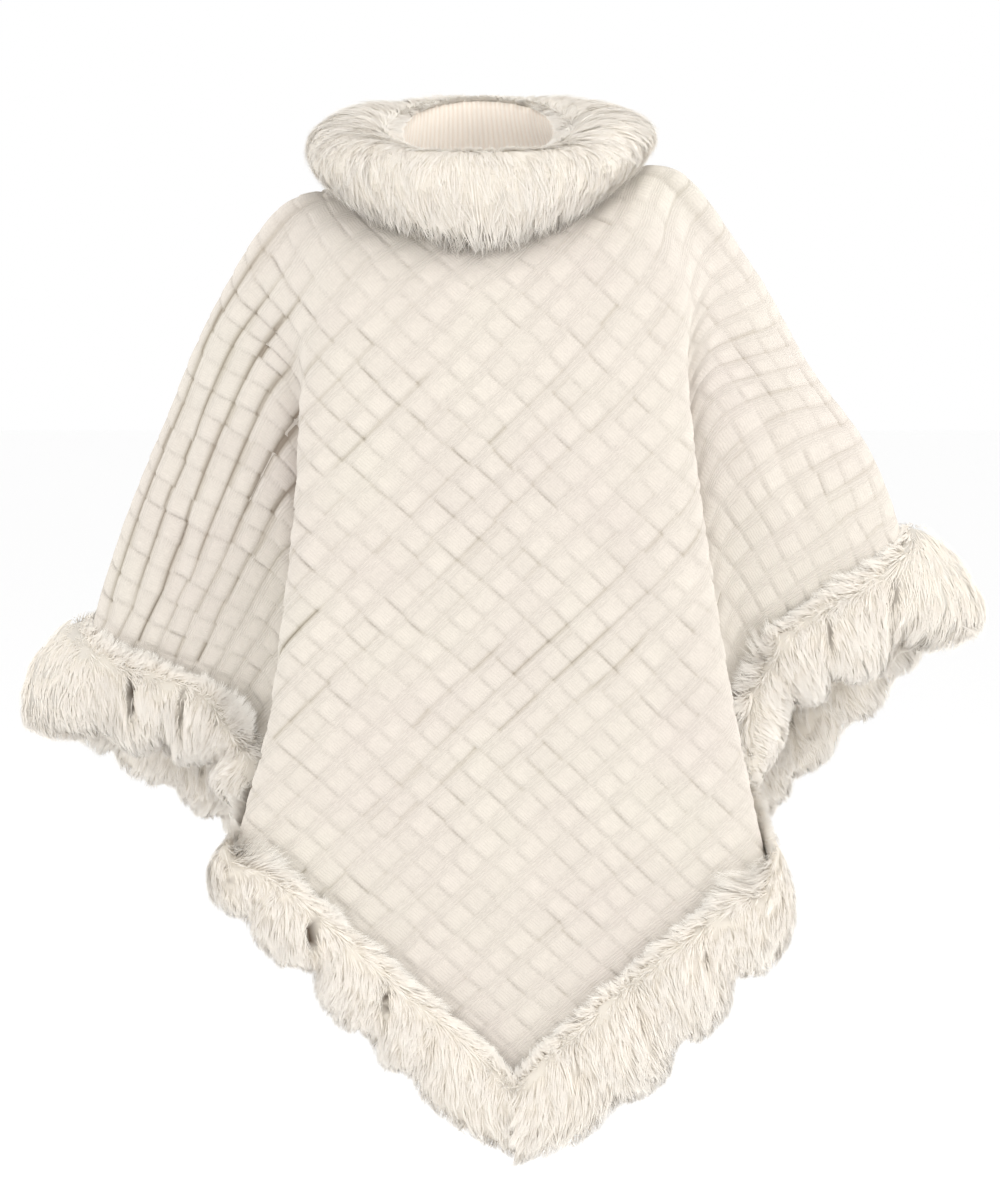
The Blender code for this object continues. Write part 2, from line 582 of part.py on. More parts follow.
def add_hem_fur(collection, name, panel, left, front, material):
    """A fur strip along a hem, gathered into puffs between its pinches and parted from the next at each end."""
    hem, upright = hem_of(*panel, left)
    run = np.concatenate([[0.0], np.cumsum(np.linalg.norm(np.diff(hem, axis=0), axis=1))])
    run *= PANEL_SIDE / run[-1]
    path, away, across, fold, from_corner = strip_frame(hem, upright, run, left, front)
    path[0] += np.array([(-1.0 if left else 1.0) * SEAM_GAP / 2, 0.0, 0.0])
    size = np.ones(len(run))
    for centre, depth in zip(PINCHES[name]["run"], PINCHES[name]["depth"]):
        size -= depth * np.exp(-(((run - centre) / PINCH_LENGTH) ** 2))
    size *= 1 - FOLD_NARROWING * fold
    reach = column(STRIP_REACH, "run", name, run) * (1 + (CORNER_REACH - 1) * from_corner)
    lowering = FOLD_LOWERING * fold + CORNER_LOWERING * from_corner
    sections = []
    for corner, (out, through) in enumerate(zip(HEM_SECTION["out"], HEM_SECTION["through"])):
        scale = np.ones(len(run)) if corner in HEM_GROOVE_CORNERS else size
        outward = out * scale * reach + lowering
        sections.append(path + away * outward[:, None] + across * (through * scale)[:, None])
    sections = np.stack(sections, axis=1)
    side = -1.0 if front else 1.0
    clear = side * path[-1, 1] + CORNER_CLEARANCE * (PANEL_SIDE - run)
    sections[..., 1] = side * np.maximum(side * sections[..., 1], clear[:, None])
    points, faces = ring_mesh(sections, closed_round=False)
    add_node(collection, name, points, faces, material, FUR_SHARPNESS)


def main():
    """Clears the scene and makes the poncho's eight pieces."""
    for old in list(bpy.data.objects):
        bpy.data.objects.remove(old)
    collection = bpy.data.collections.new("knit_poncho")
    bpy.context.scene.collection.children.link(collection)
    knit = add_material("basket_knit", KNIT_COLOUR, 0.85)
    rib_knit = add_material("rib_knit", RIB_KNIT_COLOUR, 0.85)
    fur = add_material("pile_fur", FUR_COLOUR, 0.75)
    front_panel = add_panel(collection, "front_panel", True, knit)
    back_panel = add_panel(collection, "back_panel", False, knit)
    add_collar_tube(collection, rib_knit)
    add_collar_fur(collection, fur)
    for front, panel in ((True, front_panel), (False, back_panel)):
        for left in (True, False):
            name = f"hem_fur_{'front' if front else 'back'}_{'left' if left else 'right'}"
            add_hem_fur(collection, name, panel, left, front, fur)


main()
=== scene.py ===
"""Looks of a knit poncho with a long-pile fur collar and fur hems, in the form it takes over shoulders.

Metres, +Z up, front towards -Y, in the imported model's frame. The origin lies between the shoulder tops.

Each knit panel is a square standing on its corner, with its upper corner cut away for the neck. A place on
it is given by p, the run from that corner along the left seam, and q, the run along the right seam. The drop
(p + q) / sqrt(2) is how far down the diagonal it lies, and the breadth (q - p) / sqrt(2) how far to the side.
The tables hold where the cloth lies in space, a row for each drop.
"""

from __future__ import annotations
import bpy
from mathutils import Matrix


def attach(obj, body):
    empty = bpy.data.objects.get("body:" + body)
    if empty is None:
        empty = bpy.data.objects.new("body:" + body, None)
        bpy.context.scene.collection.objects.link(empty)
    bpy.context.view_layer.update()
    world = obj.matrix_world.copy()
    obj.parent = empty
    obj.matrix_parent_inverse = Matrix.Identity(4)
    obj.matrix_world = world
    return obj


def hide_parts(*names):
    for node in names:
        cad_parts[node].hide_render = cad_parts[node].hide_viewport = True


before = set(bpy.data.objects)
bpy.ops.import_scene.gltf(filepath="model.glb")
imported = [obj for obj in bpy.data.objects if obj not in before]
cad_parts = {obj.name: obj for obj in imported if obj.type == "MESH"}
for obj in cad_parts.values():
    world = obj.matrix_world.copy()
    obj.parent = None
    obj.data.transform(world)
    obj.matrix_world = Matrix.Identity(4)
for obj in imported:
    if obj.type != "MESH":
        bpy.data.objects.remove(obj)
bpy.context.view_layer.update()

import logging
import math
from dataclasses import dataclass
from enum import Enum

import bpy
import numpy as np
from mathutils import Vector

LOG = logging.getLogger("knit_poncho")
Table = dict[str, tuple[float, ...]]
Array = np.ndarray
Socket = bpy.types.NodeSocket

# The cut
PANEL_SIDE = 0.650
RIB_COUNT = 27
ROW_COUNT = 30
RIB_PITCH = PANEL_SIDE / RIB_COUNT
ROW_PITCH = PANEL_SIDE / ROW_COUNT
NECK_CUT = 7 * RIB_PITCH
CORNER_DROP = PANEL_SIDE / math.sqrt(2)
WALL = 0.0030
SEAM_GAP = 0.0003

# Where the groove between two ribs lies, as a share of a rib
GROOVE_PLACE = 0.855

# Neck ring, where the panels meet the collar
NECK_RADIUS_X = 0.0865
NECK_RADIUS_Y = 0.0855
NECK_BLEND = 0.11

# The matt yarn of both knits
YARN_SURFACE = {"Roughness": 0.86, "Diffuse Roughness": 0.7, "Specular IOR Level": 0.25}

# The turn from one lock's place to the next that spreads them evenly
GOLDEN_TURN = 0.6180339887

# Drops on the cut, in metres, at which the tables say where the cloth hangs
DROPS = (0.10, 0.17, 0.25, 0.33, 0.41, 0.46, 0.53, 0.60, 0.70, 0.92)


def hung(**stops: tuple[tuple[int, ...], ...]) -> Table:
    """Makes a panel's table, in metres, of where each stop lies at the drops.

    Args:
        stops: by name, the stop's x, y and z in millimetres, a number for each drop.

    Returns:
        The table.
    """
    table: Table = {"drop": DROPS}
    for stop, rows in stops.items():
        table |= {f"{stop}_{axis}": tuple(value / 1000 for value in row) for axis, row in zip("xyz", rows)}
    return table


FRONT_MIDDLE = hung(
    middle=(
        (0, 0, 1, 3, 6, 9, 12, 16, 20, 29),
        (-45, -86, -120, -136, -142, -144, -144, -144, -143, -140),
        (20, -18, -86, -166, -246, -296, -366, -436, -535, -753),
    ),
)
FRONT_LEFT = hung(
    crest=(
        (-40, -90, -126, -146, -152, -157, -166, -176, -203, -240),
        (-40, -62, -100, -120, -128, -132, -134, -134, -130, -125),
        (16, -4, -86, -168, -248, -298, -368, -438, -537, -755),
    ),
    valley=(
        (-55, -115, -158, -152, -148, -150, -156, -164, -190, -230),
        (-30, -44, -76, -86, -82, -84, -90, -96, -98, -100),
        (14, 0, -86, -164, -248, -302, -374, -448, -545, -760),
    ),
    reveal=(
        (-66, -136, -186, -180, -172, -172, -174, -188, -215, -250),
        (-17, -24, -52, -74, -80, -78, -73, -69, -66, -70),
        (12, 2, -84, -152, -236, -288, -358, -422, -530, -765),
    ),
    seam=(
        (-58, -158, -226, -275, -320, -341, -328, -311, -290, -260),
        (0, 0, 0, 0, 0, 0, 0, 0, 0, 0),
        (12, 4, -83, -191, -302, -374, -432, -484, -572, -790),
    ),
)
FRONT_RIGHT = hung(
    crest=(
        (40, 100, 160, 169, 179, 187, 199, 213, 237, 270),
        (-40, -64, -96, -116, -124, -128, -130, -131, -128, -125),
        (20, 6, -70, -160, -244, -296, -370, -446, -552, -760),
    ),
    valley=(
        (55, 118, 176, 172, 174, 180, 190, 202, 222, 260),
        (-30, -46, -72, -86, -84, -86, -90, -94, -96, -100),
        (22, 18, -60, -140, -214, -270, -348, -424, -540, -760),
    ),
    reveal=(
        (66, 138, 190, 194, 196, 202, 210, 218, 240, 280),
        (-17, -26, -52, -74, -83, -83, -78, -72, -68, -70),
        (22, 27, -52, -116, -178, -238, -316, -390, -520, -740),
    ),
    seam=(
        (58, 158, 230, 284, 342, 364, 350, 330, 305, 290),
        (0, 0, 0, -5, -14, -22, -22, -22, -22, -22),
        (22, 31, -50, -142, -226, -292, -358, -424, -530, -760),
    ),
)
BACK_MIDDLE = hung(
    middle=(
        (0, 0, 0, 1, 2, 3, 4, 6, 8, 12),
        (45, 86, 118, 130, 130, 128, 126, 126, 127, 130),
        (50, 30, -42, -122, -202, -252, -322, -392, -492, -712),
    ),
)
BACK_LEFT = hung(
    crest=(
        (-40, -86, -126, -146, -154, -158, -164, -172, -194, -230),
        (40, 66, 100, 118, 124, 125, 125, 125, 123, 120),
        (40, 24, -50, -132, -214, -266, -338, -410, -512, -722),
    ),
    valley=(
        (-55, -112, -160, -174, -178, -182, -189, -198, -220, -240),
        (30, 46, 76, 90, 92, 93, 94, 95, 96, 96),
        (30, 18, -60, -142, -228, -284, -362, -438, -538, -735),
    ),
    reveal=(
        (-66, -134, -188, -210, -222, -228, -234, -240, -252, -260),
        (17, 25, 52, 72, 82, 84, 84, 84, 84, 84),
        (20, 12, -68, -156, -248, -308, -392, -474, -566, -755),
    ),
    seam=(
        (-58, -158, -226, -275, -320, -341, -332, -320, -300, -270),
        (0, 0, 0, 0, 0, 0, 0, 0, 0, 0),
        (12, 4, -83, -191, -302, -374, -450, -524, -614, -790),
    ),
)
BACK_RIGHT = hung(
    crest=(
        (40, 90, 134, 154, 164, 170, 178, 188, 210, 240),
        (40, 66, 98, 116, 122, 124, 124, 124, 122, 120),
        (42, 30, -42, -126, -208, -260, -334, -408, -510, -722),
    ),
    valley=(
        (55, 114, 166, 180, 190, 198, 208, 218, 238, 260),
        (30, 48, 74, 86, 88, 89, 90, 90, 92, 92),
        (34, 30, -48, -132, -214, -270, -350, -430, -530, -730),
    ),
    reveal=(
        (66, 136, 194, 218, 240, 250, 258, 264, 276, 285),
        (17, 26, 50, 66, 74, 75, 75, 75, 75, 75),
        (26, 30, -50, -132, -214, -278, -366, -450, -552, -745),
    ),
    seam=(
        (58, 158, 230, 284, 342, 364, 358, 346, 326, 300),
        (0, 0, 0, -5, -14, -22, -18, -14, -14, -14),
        (22, 31, -50, -142, -226, -292, -374, -456, -560, -760),
    ),
)
FOLD_STOPS = ("crest", "valley", "reveal", "seam")
ARM_ROUNDNESS = 0.13
SAMPLES_PER_STOP = 24

# Height of the neck ring and its slope outwards, by azimuth (0 front, 90 the right shoulder, 180 back)
NECK_RING: Table = {
    "azimuth": (0, 45, 90, 135, 180, 225, 270, 315, 360),
    "z": (-0.018, -0.004, 0.022, 0.034, 0.034, 0.026, 0.012, -0.008, -0.018),
    "fall": (52, 34, -4, 30, 46, 34, 7, 38, 52),
}

# Collar fur: reach from the neck's axis, lowest and highest level, by azimuth
COLLAR_FUR: Table = {
    "azimuth": (0, 45, 90, 135, 180, 225, 270, 315, 360),
    "reach": (0.155, 0.158, 0.155, 0.142, 0.134, 0.144, 0.156, 0.160, 0.155),
    "low": (-0.036, -0.008, 0.038, 0.039, 0.030, 0.027, 0.020, -0.014, -0.036),
    "high": (0.044, 0.052, 0.082, 0.096, 0.099, 0.095, 0.080, 0.052, 0.044),
}

# Hem fur: section seen along the strip, out = away from the hem, through = off the cloth's face
HEM_SECTION: Table = {
    "out": (0.0005, -0.0110, 0.0060, 0.0420, 0.0660, 0.0660, 0.0420, 0.0060, -0.0110, 0.0005),
    "through": (0.0062, 0.0160, 0.0290, 0.0270, 0.0100, -0.0100, -0.0270, -0.0290, -0.0160, -0.0062),
}
HEM_GROOVE_CORNERS = (0, 9)
PINCH_LENGTH = 0.013
STRIP_REACH: Table = {
    "run": (0.000, 0.060, 0.140, 0.280, 0.360, 0.450, 0.650),
    "front_left": (0.94, 0.88, 0.82, 0.84, 0.96, 1.00, 1.00),
    "front_right": (0.94, 0.98, 1.02, 0.98, 1.00, 1.02, 1.04),
    "back_left": (0.98, 0.98, 0.98, 0.98, 0.98, 0.98, 1.00),
    "back_right": (0.98, 0.98, 0.98, 0.98, 0.98, 0.98, 1.04),
}
POINT_FAN = 0.060
CORNER_FAN = 0.075
CORNER_REACH = 1.22
CORNER_LOWERING = 0.0035
CORNER_CLEARANCE = 0.10
FOLD_SMOOTHING = 0.024
FOLD_OFFSET = 0.003
FOLD_LOWERING = 0.013
FOLD_NARROWING = 0.30

# How much further the hair reaches than the strip's solid
HAIR_REACH: Table = {
    "run": (0.00, 0.05, 0.10, 0.16, 0.24, 0.50, 0.57, 0.65),
    "front_left": (0.000, 0.000, 0.004, 0.002, 0.000, 0.000, 0.009, 0.017),
    "front_right": (0.005, 0.014, 0.013, 0.005, 0.000, 0.004, 0.012, 0.020),
    "back_left": (0.002, 0.006, 0.006, 0.003, 0.000, 0.000, 0.008, 0.015),
    "back_right": (0.002, 0.006, 0.006, 0.003, 0.000, 0.000, 0.008, 0.015),
}
# Where each strip is pinched, as runs from the panel's lower point; its slit is a parting painted dark with
# painted shade
PINCHES: dict[str, Table] = {
    "front_left": {
        "run": (0.076, 0.127, 0.204, 0.279, 0.360, 0.440, 0.540, 0.595),
        "depth": (0.16, 0.20, 0.30, 0.20, 0.16, 0.18, 0.20, 0.18),
        "slit": (0.45, 0.90, 1.00, 0.55, 0.20, 0.50, 0.85, 1.00),
        "slit_run": (0.076, 0.127, 0.204, 0.279, 0.360, 0.440, 0.495, 0.560),
    },
    "front_right": {
        "run": (0.055, 0.127, 0.204, 0.280, 0.360, 0.450, 0.520, 0.590),
        "depth": (0.16, 0.20, 0.24, 0.18, 0.16, 0.18, 0.20, 0.22),
        "slit": (0.45, 0.50, 0.60, 0.35, 0.20, 0.50, 0.60, 0.70),
    },
    "back_left": {
        "run": (0.070, 0.150, 0.222, 0.300, 0.375, 0.452, 0.530, 0.600),
        "depth": (0.16, 0.20, 0.18, 0.24, 0.16, 0.20, 0.18, 0.18),
        "slit": (0.60, 0.70, 0.50, 0.80, 0.30, 0.70, 0.50, 0.50),
    },
    "back_right": {
        "run": (0.062, 0.140, 0.225, 0.298, 0.380, 0.455, 0.528, 0.598),
        "depth": (0.18, 0.18, 0.24, 0.16, 0.20, 0.18, 0.18, 0.20),
        "slit": (0.60, 0.60, 0.80, 0.40, 0.50, 0.50, 0.60, 0.60),
    },
}


class Face(Enum):
    """Which of the two knit panels a piece belongs to, with the way its outside faces along Y."""

    FRONT = -1.0
    BACK = 1.0


class Hand(Enum):
    """The side as the viewer of the front sees it, with the way an arm's corner hangs out."""

    LEFT = (-0.62, 0.0, -0.78)
    RIGHT = (0.70, 0.0, -0.71)


class Hold(Enum):
    """How a sheet of cloth is held."""

    DRAPED = "draped"
    GATHERED = "gathered"


# ---------------------------------------------------------------------------------------------------------
# Curves and noise


def unit(vectors: Array) -> Array:
    """Vectors at length one."""
    return vectors / np.maximum(np.linalg.norm(vectors, axis=-1, keepdims=True), 1e-12)


def smooth_step(value: Array | float) -> Array:
    """A soft rise from 0 to 1."""
    value = np.clip(value, 0.0, 1.0)
    return value * value * (3.0 - 2.0 * value)


def bell(value: Array, width: float) -> Array:
    """A bell of height 1 about 0."""
    return np.exp(-((value / width) ** 2))


def plateau(value: Array, start: float, rise: float, end: float, fall: float) -> Array:
    """A soft rise from start and a soft fall from end, over the widths given."""
    return smooth_step((value - start) / rise) * (1.0 - smooth_step((value - end) / fall))


def hermite(start: Array, end: Array, start_slope: Array, end_slope: Array, share: Array) -> Array:
    """The cubic between two values.

    Args:
        start: the value at share 0.
        end: the value at share 1.
        start_slope: the slope at the start over the whole step.
        end_slope: the slope at the end over the whole step.
        share: how far along, from 0 to 1.

    Returns:
        The values at each share.
    """
    square, cube = share**2, share**3
    return (
        (2 * cube - 3 * square + 1) * start
        + (cube - 2 * square + share) * start_slope
        + (3 * square - 2 * cube) * end
        + (cube - square) * end_slope
    )


def column(table: Table, key: str, name: str, at: Array) -> Array:
    """Reads a table's column smoothly.

    Args:
        table: named columns.
        key: the column that holds the knots.
        name: the column to read.
        at: where to read, on the key column's scale.

    Returns:
        The column's values there.
    """
    knots = np.asarray(table[key], float)
    values = np.asarray(table[name], float)
    slopes = np.gradient(values, knots)
    low = np.clip(np.searchsorted(knots, at) - 1, 0, len(knots) - 2)
    step = knots[low + 1] - knots[low]
    share = np.clip((at - knots[low]) / step, 0.0, 1.0)
    return hermite(values[low], values[low + 1], slopes[low] * step, slopes[low + 1] * step, share)


def ring_column(table: Table, name: str, azimuth: Array) -> Array:
    """Reads a column of a table that goes once round the neck.

    Args:
        table: named columns by azimuth in degrees.
        name: the column to read.
        azimuth: where to read, in degrees.

    Returns:
        The column's values there.
    """
    three: Table = {
        "azimuth": tuple(a + turn for turn in (-360, 0, 360) for a in table["azimuth"][:-1]),
        name: tuple(table[name][:-1]) * 3,
    }
    return column(three, "azimuth", name, np.mod(azimuth, 360.0))


def resampled(values: Array, count: int) -> Array:
    """Smooth values between evenly numbered ones.

    Args:
        values: an array whose first axis is the run.
        count: how many places to read, ends included.

    Returns:
        The array with count places along its first axis.
    """
    slopes = np.gradient(values, axis=0)
    at = np.linspace(0.0, len(values) - 1.0, count)
    low = np.minimum(at.astype(int), len(values) - 2)
    share = (at - low).reshape((-1,) + (1,) * (values.ndim - 1))
    return hermite(values[low], values[low + 1], slopes[low], slopes[low + 1], share)


@dataclass(frozen=True)
class SoftNoise:
    """Smooth values between -1 and 1 over a plane, the same each time for one seed."""

    seed: int
    width: float

    def at(self, across: Array, down: Array) -> Array:
        """Reads the noise.

        Args:
            across: first coordinate, in metres.
            down: second coordinate, in metres.

        Returns:
            The noise at each place.
        """
        knots = np.random.default_rng(self.seed).uniform(-1.0, 1.0, (64, 64))
        x, y = across / self.width + 11.0, down / self.width + 17.0
        i, j = np.floor(x).astype(int), np.floor(y).astype(int)
        u, v = smooth_step(x - i), smooth_step(y - j)
        near = knots[i % 64, j % 64] * (1 - u) + knots[(i + 1) % 64, j % 64] * u
        far = knots[i % 64, (j + 1) % 64] * (1 - u) + knots[(i + 1) % 64, (j + 1) % 64] * u
        return near * (1 - v) + far * v


# ---------------------------------------------------------------------------------------------------------
# Meshes


@dataclass
class ClothMesh:
    """Points, faces and texture places of a mesh in the making."""

    points: Array
    faces: list[list[int]]
    places: Array
    shades: Array | None = None
    normals: Array | None = None

    def join(self, other: ClothMesh) -> ClothMesh:
        """This mesh and another as one."""
        shifted = [[index + len(self.points) for index in face] for face in other.faces]
        return ClothMesh(
            np.concatenate([self.points, other.points]),
            self.faces + shifted,
            np.concatenate([self.places, other.places]),
            None if self.shades is None else np.concatenate([self.shades, other.shades]),
            None if self.normals is None else np.concatenate([self.normals, other.normals]),
        )

    def build(self, name: str, material: bpy.types.Material) -> bpy.types.Object:
        """Makes the object, shaded smooth, its place in its mesh.

        Args:
            name: the piece's name.
            material: its finish.

        Returns:
            The object.
        """
        mesh = bpy.data.meshes.new(name)
        mesh.from_pydata(self.points.tolist(), [], self.faces)
        mesh.shade_smooth()
        mesh.materials.append(material)
        corners = np.empty(len(mesh.loops), np.int32)
        mesh.loops.foreach_get("vertex_index", corners)
        mesh.uv_layers.new(name="cut").data.foreach_set("uv", self.places[corners].astype(np.float32).ravel())
        if self.shades is not None:
            shade = mesh.color_attributes.new(name="relief", type="FLOAT_COLOR", domain="POINT")
            shade.data.foreach_set("color", self.shades.astype(np.float32).ravel())
        if self.normals is not None:
            mesh.normals_split_custom_set_from_vertices(self.normals.tolist())
        piece = bpy.data.objects.new(name, mesh)
        bpy.context.scene.collection.objects.link(piece)
        return piece


def grid_faces(rows: int, columns: int, first: int, turned: bool) -> list[list[int]]:
    """Faces of a grid of points.

    Args:
        rows: points down.
        columns: points across.
        first: index of the grid's first point.
        turned: whether the faces look the other way.

    Returns:
        One four-cornered face for each cell.
    """
    index = np.arange(rows * columns).reshape(rows, columns) + first
    corners = [index[:-1, :-1], index[1:, :-1], index[1:, 1:], index[:-1, 1:]]
    faces = np.stack(corners[::-1] if turned else corners, axis=-1)
    return faces.reshape(-1, 4).tolist()


def wrapped_faces(near: Array, far: Array) -> Array:
    """Faces between two stacks of closed sections, each point of near with its fellow in far."""
    return np.stack([near, far, np.roll(far, -1, 1), np.roll(near, -1, 1)], axis=-1).reshape(-1, 4)


def finish_piece(piece: bpy.types.Object, slot: str, *nodes: str) -> None:
    """Seats a piece in the model.

    Args:
        piece: the finished object.
        slot: the record's material slot; not used.
        nodes: the solids that it stands for.
    """
    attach(piece, "root")
    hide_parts(*nodes)
    triangles = sum(len(polygon.vertices) - 2 for polygon in piece.data.polygons)
    LOG.info("%s: %d triangles", piece.name, triangles)


# ---------------------------------------------------------------------------------------------------------
# Materials


def linear(code: str) -> tuple[float, float, float, float]:
    """An sRGB hex colour as linear light."""
    parts = [int(code[i : i + 2], 16) / 255 for i in (1, 3, 5)]
    red, green, blue = [c / 12.92 if c <= 0.04045 else ((c + 0.055) / 1.055) ** 2.4 for c in parts]
    return (red, green, blue, 1.0)


def add_node(tree: bpy.types.NodeTree, kind: str, inputs: dict | None = None, **settings) -> bpy.types.Node:
    """Adds a node.

    Args:
        tree: the material's tree.
        kind: the node's type.
        inputs: by socket name or number, the value it takes or the output it is linked to.
        settings: the node's own properties.

    Returns:
        The node.
    """
    made = tree.nodes.new(kind)
    for name, value in settings.items():
        setattr(made, name, value)
    for key, value in (inputs or {}).items():
        if isinstance(value, Socket):
            tree.links.new(value, made.inputs[key])
        else:
            made.inputs[key].default_value = value
    return made


def maths(tree: bpy.types.NodeTree, operation: str, *terms: float | Socket) -> Socket:
    """Adds a maths node on the terms and gives its output."""
    return add_node(tree, "ShaderNodeMath", dict(enumerate(terms)), operation=operation).outputs[0]


def scaled(tree: bpy.types.NodeTree, value: Socket, factor: float, shift: float | Socket) -> Socket:
    """Gives the value times a factor plus a shift."""
    return maths(tree, "MULTIPLY_ADD", value, factor, shift)


def noise(tree: bpy.types.NodeTree, scale: float, roughness: float = 0.5, detail: float = 2.0) -> Socket:
    """Adds noise by Object coordinates, its scale in lumps a metre, and gives its value."""
    where = add_node(tree, "ShaderNodeTexCoord").outputs["Object"]
    inputs = {0: where, "Scale": scale, "Detail": detail, "Roughness": roughness}
    return add_node(tree, "ShaderNodeTexNoise", inputs).outputs[0]


def ramp(tree: bpy.types.NodeTree, share: Socket, *stops: tuple[float, str]) -> Socket:
    """Adds a colour ramp over a share and gives its colour.

    Args:
        tree: the material's tree.
        share: the output that it reads.
        stops: places from 0 to 1, each with its sRGB colour.

    Returns:
        The ramp's colour.
    """
    made = add_node(tree, "ShaderNodeValToRGB", {0: share})
    elements = made.color_ramp.elements
    while len(elements) < len(stops):
        elements.new(0.5)
    for element, (place, code) in zip(elements, stops):
        element.position = place
        element.color = linear(code)
    return made.outputs[0]


@dataclass(frozen=True)
class Finish:
    """A finish: its name and what its shader has the same all over."""

    name: str = ""

    def surface(self) -> dict[str, float | tuple[float, ...]]:
        """The shader's sockets that have one number or colour all over."""
        return {}

    def dress(self, tree: bpy.types.NodeTree, shader: bpy.types.Node) -> None:
        """Adds the finish's nodes to the shader."""
        raise NotImplementedError

    def material(self) -> bpy.types.Material:
        """Makes the material.

        Returns:
            The material, with its nodes.
        """
        made = bpy.data.materials.new(self.name)
        made.use_nodes = True
        shader = made.node_tree.nodes["Principled BSDF"]
        for socket, value in self.surface().items():
            shader.inputs[socket].default_value = value
        self.dress(made.node_tree, shader)
        return made

    @staticmethod
    def bump(
        tree: bpy.types.NodeTree, shader: bpy.types.Node, height: Socket, strength: float, depth: float
    ) -> Socket:
        """Gives the shader a bump.

        Args:
            tree: the material's tree.
            shader: its shader.
            height: the output that the bump reads.
            strength: the bump's share.
            depth: how deep it is, in metres.

        Returns:
            The bump's normal.
        """
        inputs = {"Height": height, "Strength": strength, "Distance": depth}
        normal = add_node(tree, "ShaderNodeBump", inputs).outputs[0]
        tree.links.new(normal, shader.inputs["Normal"])
        return normal


@dataclass(frozen=True)
class BasketKnit(Finish):
    """Acrylic and wool yarn knitted in raised squares on a ribbed ground.

    It gives the eye matt cream squares painted lighter where they catch the light, finely ribbed sunk ground
    and soft creases darkened with painted shade.
    """

    name: str = "basket_weave_acrylic_wool_knit"
    # Ramp colours: lit is painted light on the squares, ground the sunk ground, crease and deep painted shade
    # in the creases and grooves
    lit: str = "#d7d1c9"
    ground: str = "#cfc9c1"
    crease: str = "#c1baaf"
    deep: str = "#978d7f"
    stitch_mm: float = 2.4
    yarn_mm: float = 0.9

    def surface(self) -> dict[str, float | tuple[float, ...]]:
        """Matt yarn with a soft warm nap."""
        return YARN_SURFACE | {"Sheen Weight": 0.25, "Sheen Roughness": 0.5, "Sheen Tint": linear("#fff8ec")}

    def dress(self, tree: bpy.types.NodeTree, shader: bpy.types.Node) -> None:
        """Adds the stitches, the yarn's fuzz and the weave's colours, with painted light and shade.

        Args:
            tree: the material's tree.
            shader: its shader.
        """
        cut = add_node(tree, "ShaderNodeUVMap", uv_map="cut").outputs[0]
        p, q = add_node(tree, "ShaderNodeSeparateXYZ", {0: cut}).outputs[:2]
        relief = add_node(tree, "ShaderNodeAttribute", attribute_name="relief").outputs["Color"]
        square, painted_light_and_tone = add_node(tree, "ShaderNodeSeparateColor", {0: relief}).outputs[:2]
        # Stitch columns a real 1.2 mm apart are drawn at twice that, or they would not show
        stitches = PANEL_SIDE * 1000 / self.stitch_mm * 2 * math.pi
        wander = noise(tree, 190.0, 0.6)
        off = maths(tree, "MULTIPLY", wander, 7.0)
        columns = maths(tree, "SINE", scaled(tree, q, stitches, off))
        rows = maths(tree, "MULTIPLY", maths(tree, "SINE", scaled(tree, p, stitches, off)), 0.55)
        ribs = add_node(tree, "ShaderNodeMix", {0: square, 2: columns, 3: rows}, data_type="FLOAT").outputs[0]
        # Height: the stitches over the squares' own form, then the yarn's fuzz
        fuzz = noise(tree, 1000 / self.yarn_mm, 0.6, 3.0)
        self.bump(tree, shader, scaled(tree, fuzz, 1.3, maths(tree, "MULTIPLY", ribs, 0.55)), 0.42, 0.0010)
        # Colour: painted shade darkens the creases, painted light makes the squares lightest, and a little
        # painted shade darkens the stitches' hollows
        stops = ((0.0, self.deep), (0.28, self.crease), (0.55, self.ground), (0.95, self.lit))
        colour = ramp(tree, painted_light_and_tone, *stops)
        tone = noise(tree, 9.0)
        # Painted shade in the stitches' hollows, with a random tone
        stitch_shade_and_tone = maths(tree, "ADD", scaled(tree, ribs, 0.028, 0.972), scaled(tree, tone, 0.06, -0.03))
        value = maths(tree, "ADD", stitch_shade_and_tone, scaled(tree, wander, 0.12, -0.06))
        inputs = {"Color": colour, "Value": value, "Hue": scaled(tree, tone, 0.05, 0.474)}
        shaded = add_node(tree, "ShaderNodeHueSaturation", inputs).outputs[0]
        tree.links.new(shaded, shader.inputs["Base Color"])


@dataclass(frozen=True)
class RibKnit(Finish):
    """The collar's fine rib knit of the same yarn, which gives the eye faint upright lines, painted shade in
    their hollows, on warm beige.
    """

    name: str = "fine_rib_acrylic_wool_knit"
    lit: str = "#fff9f1"
    hollow_painted_shade: str = "#fbf1e6"
    yarn_mm: float = 0.9

    def surface(self) -> dict[str, float | tuple[float, ...]]:
        """Matt yarn with little nap."""
        return YARN_SURFACE | {"Sheen Weight": 0.2}

    def dress(self, tree: bpy.types.NodeTree, shader: bpy.types.Node) -> None:
        """Adds the ribs' painted shade, darker in the hollows, and the yarn's fuzz."""
        relief = add_node(tree, "ShaderNodeAttribute", attribute_name="relief").outputs["Color"]
        rib = add_node(tree, "ShaderNodeSeparateColor", {0: relief}).outputs[0]
        tree.links.new(ramp(tree, rib, (0.0, self.hollow_painted_shade), (0.8, self.lit)), shader.inputs["Base Color"])
        self.bump(tree, shader, noise(tree, 1000 / self.yarn_mm, 0.6, 3.0), 0.4, 0.0008)


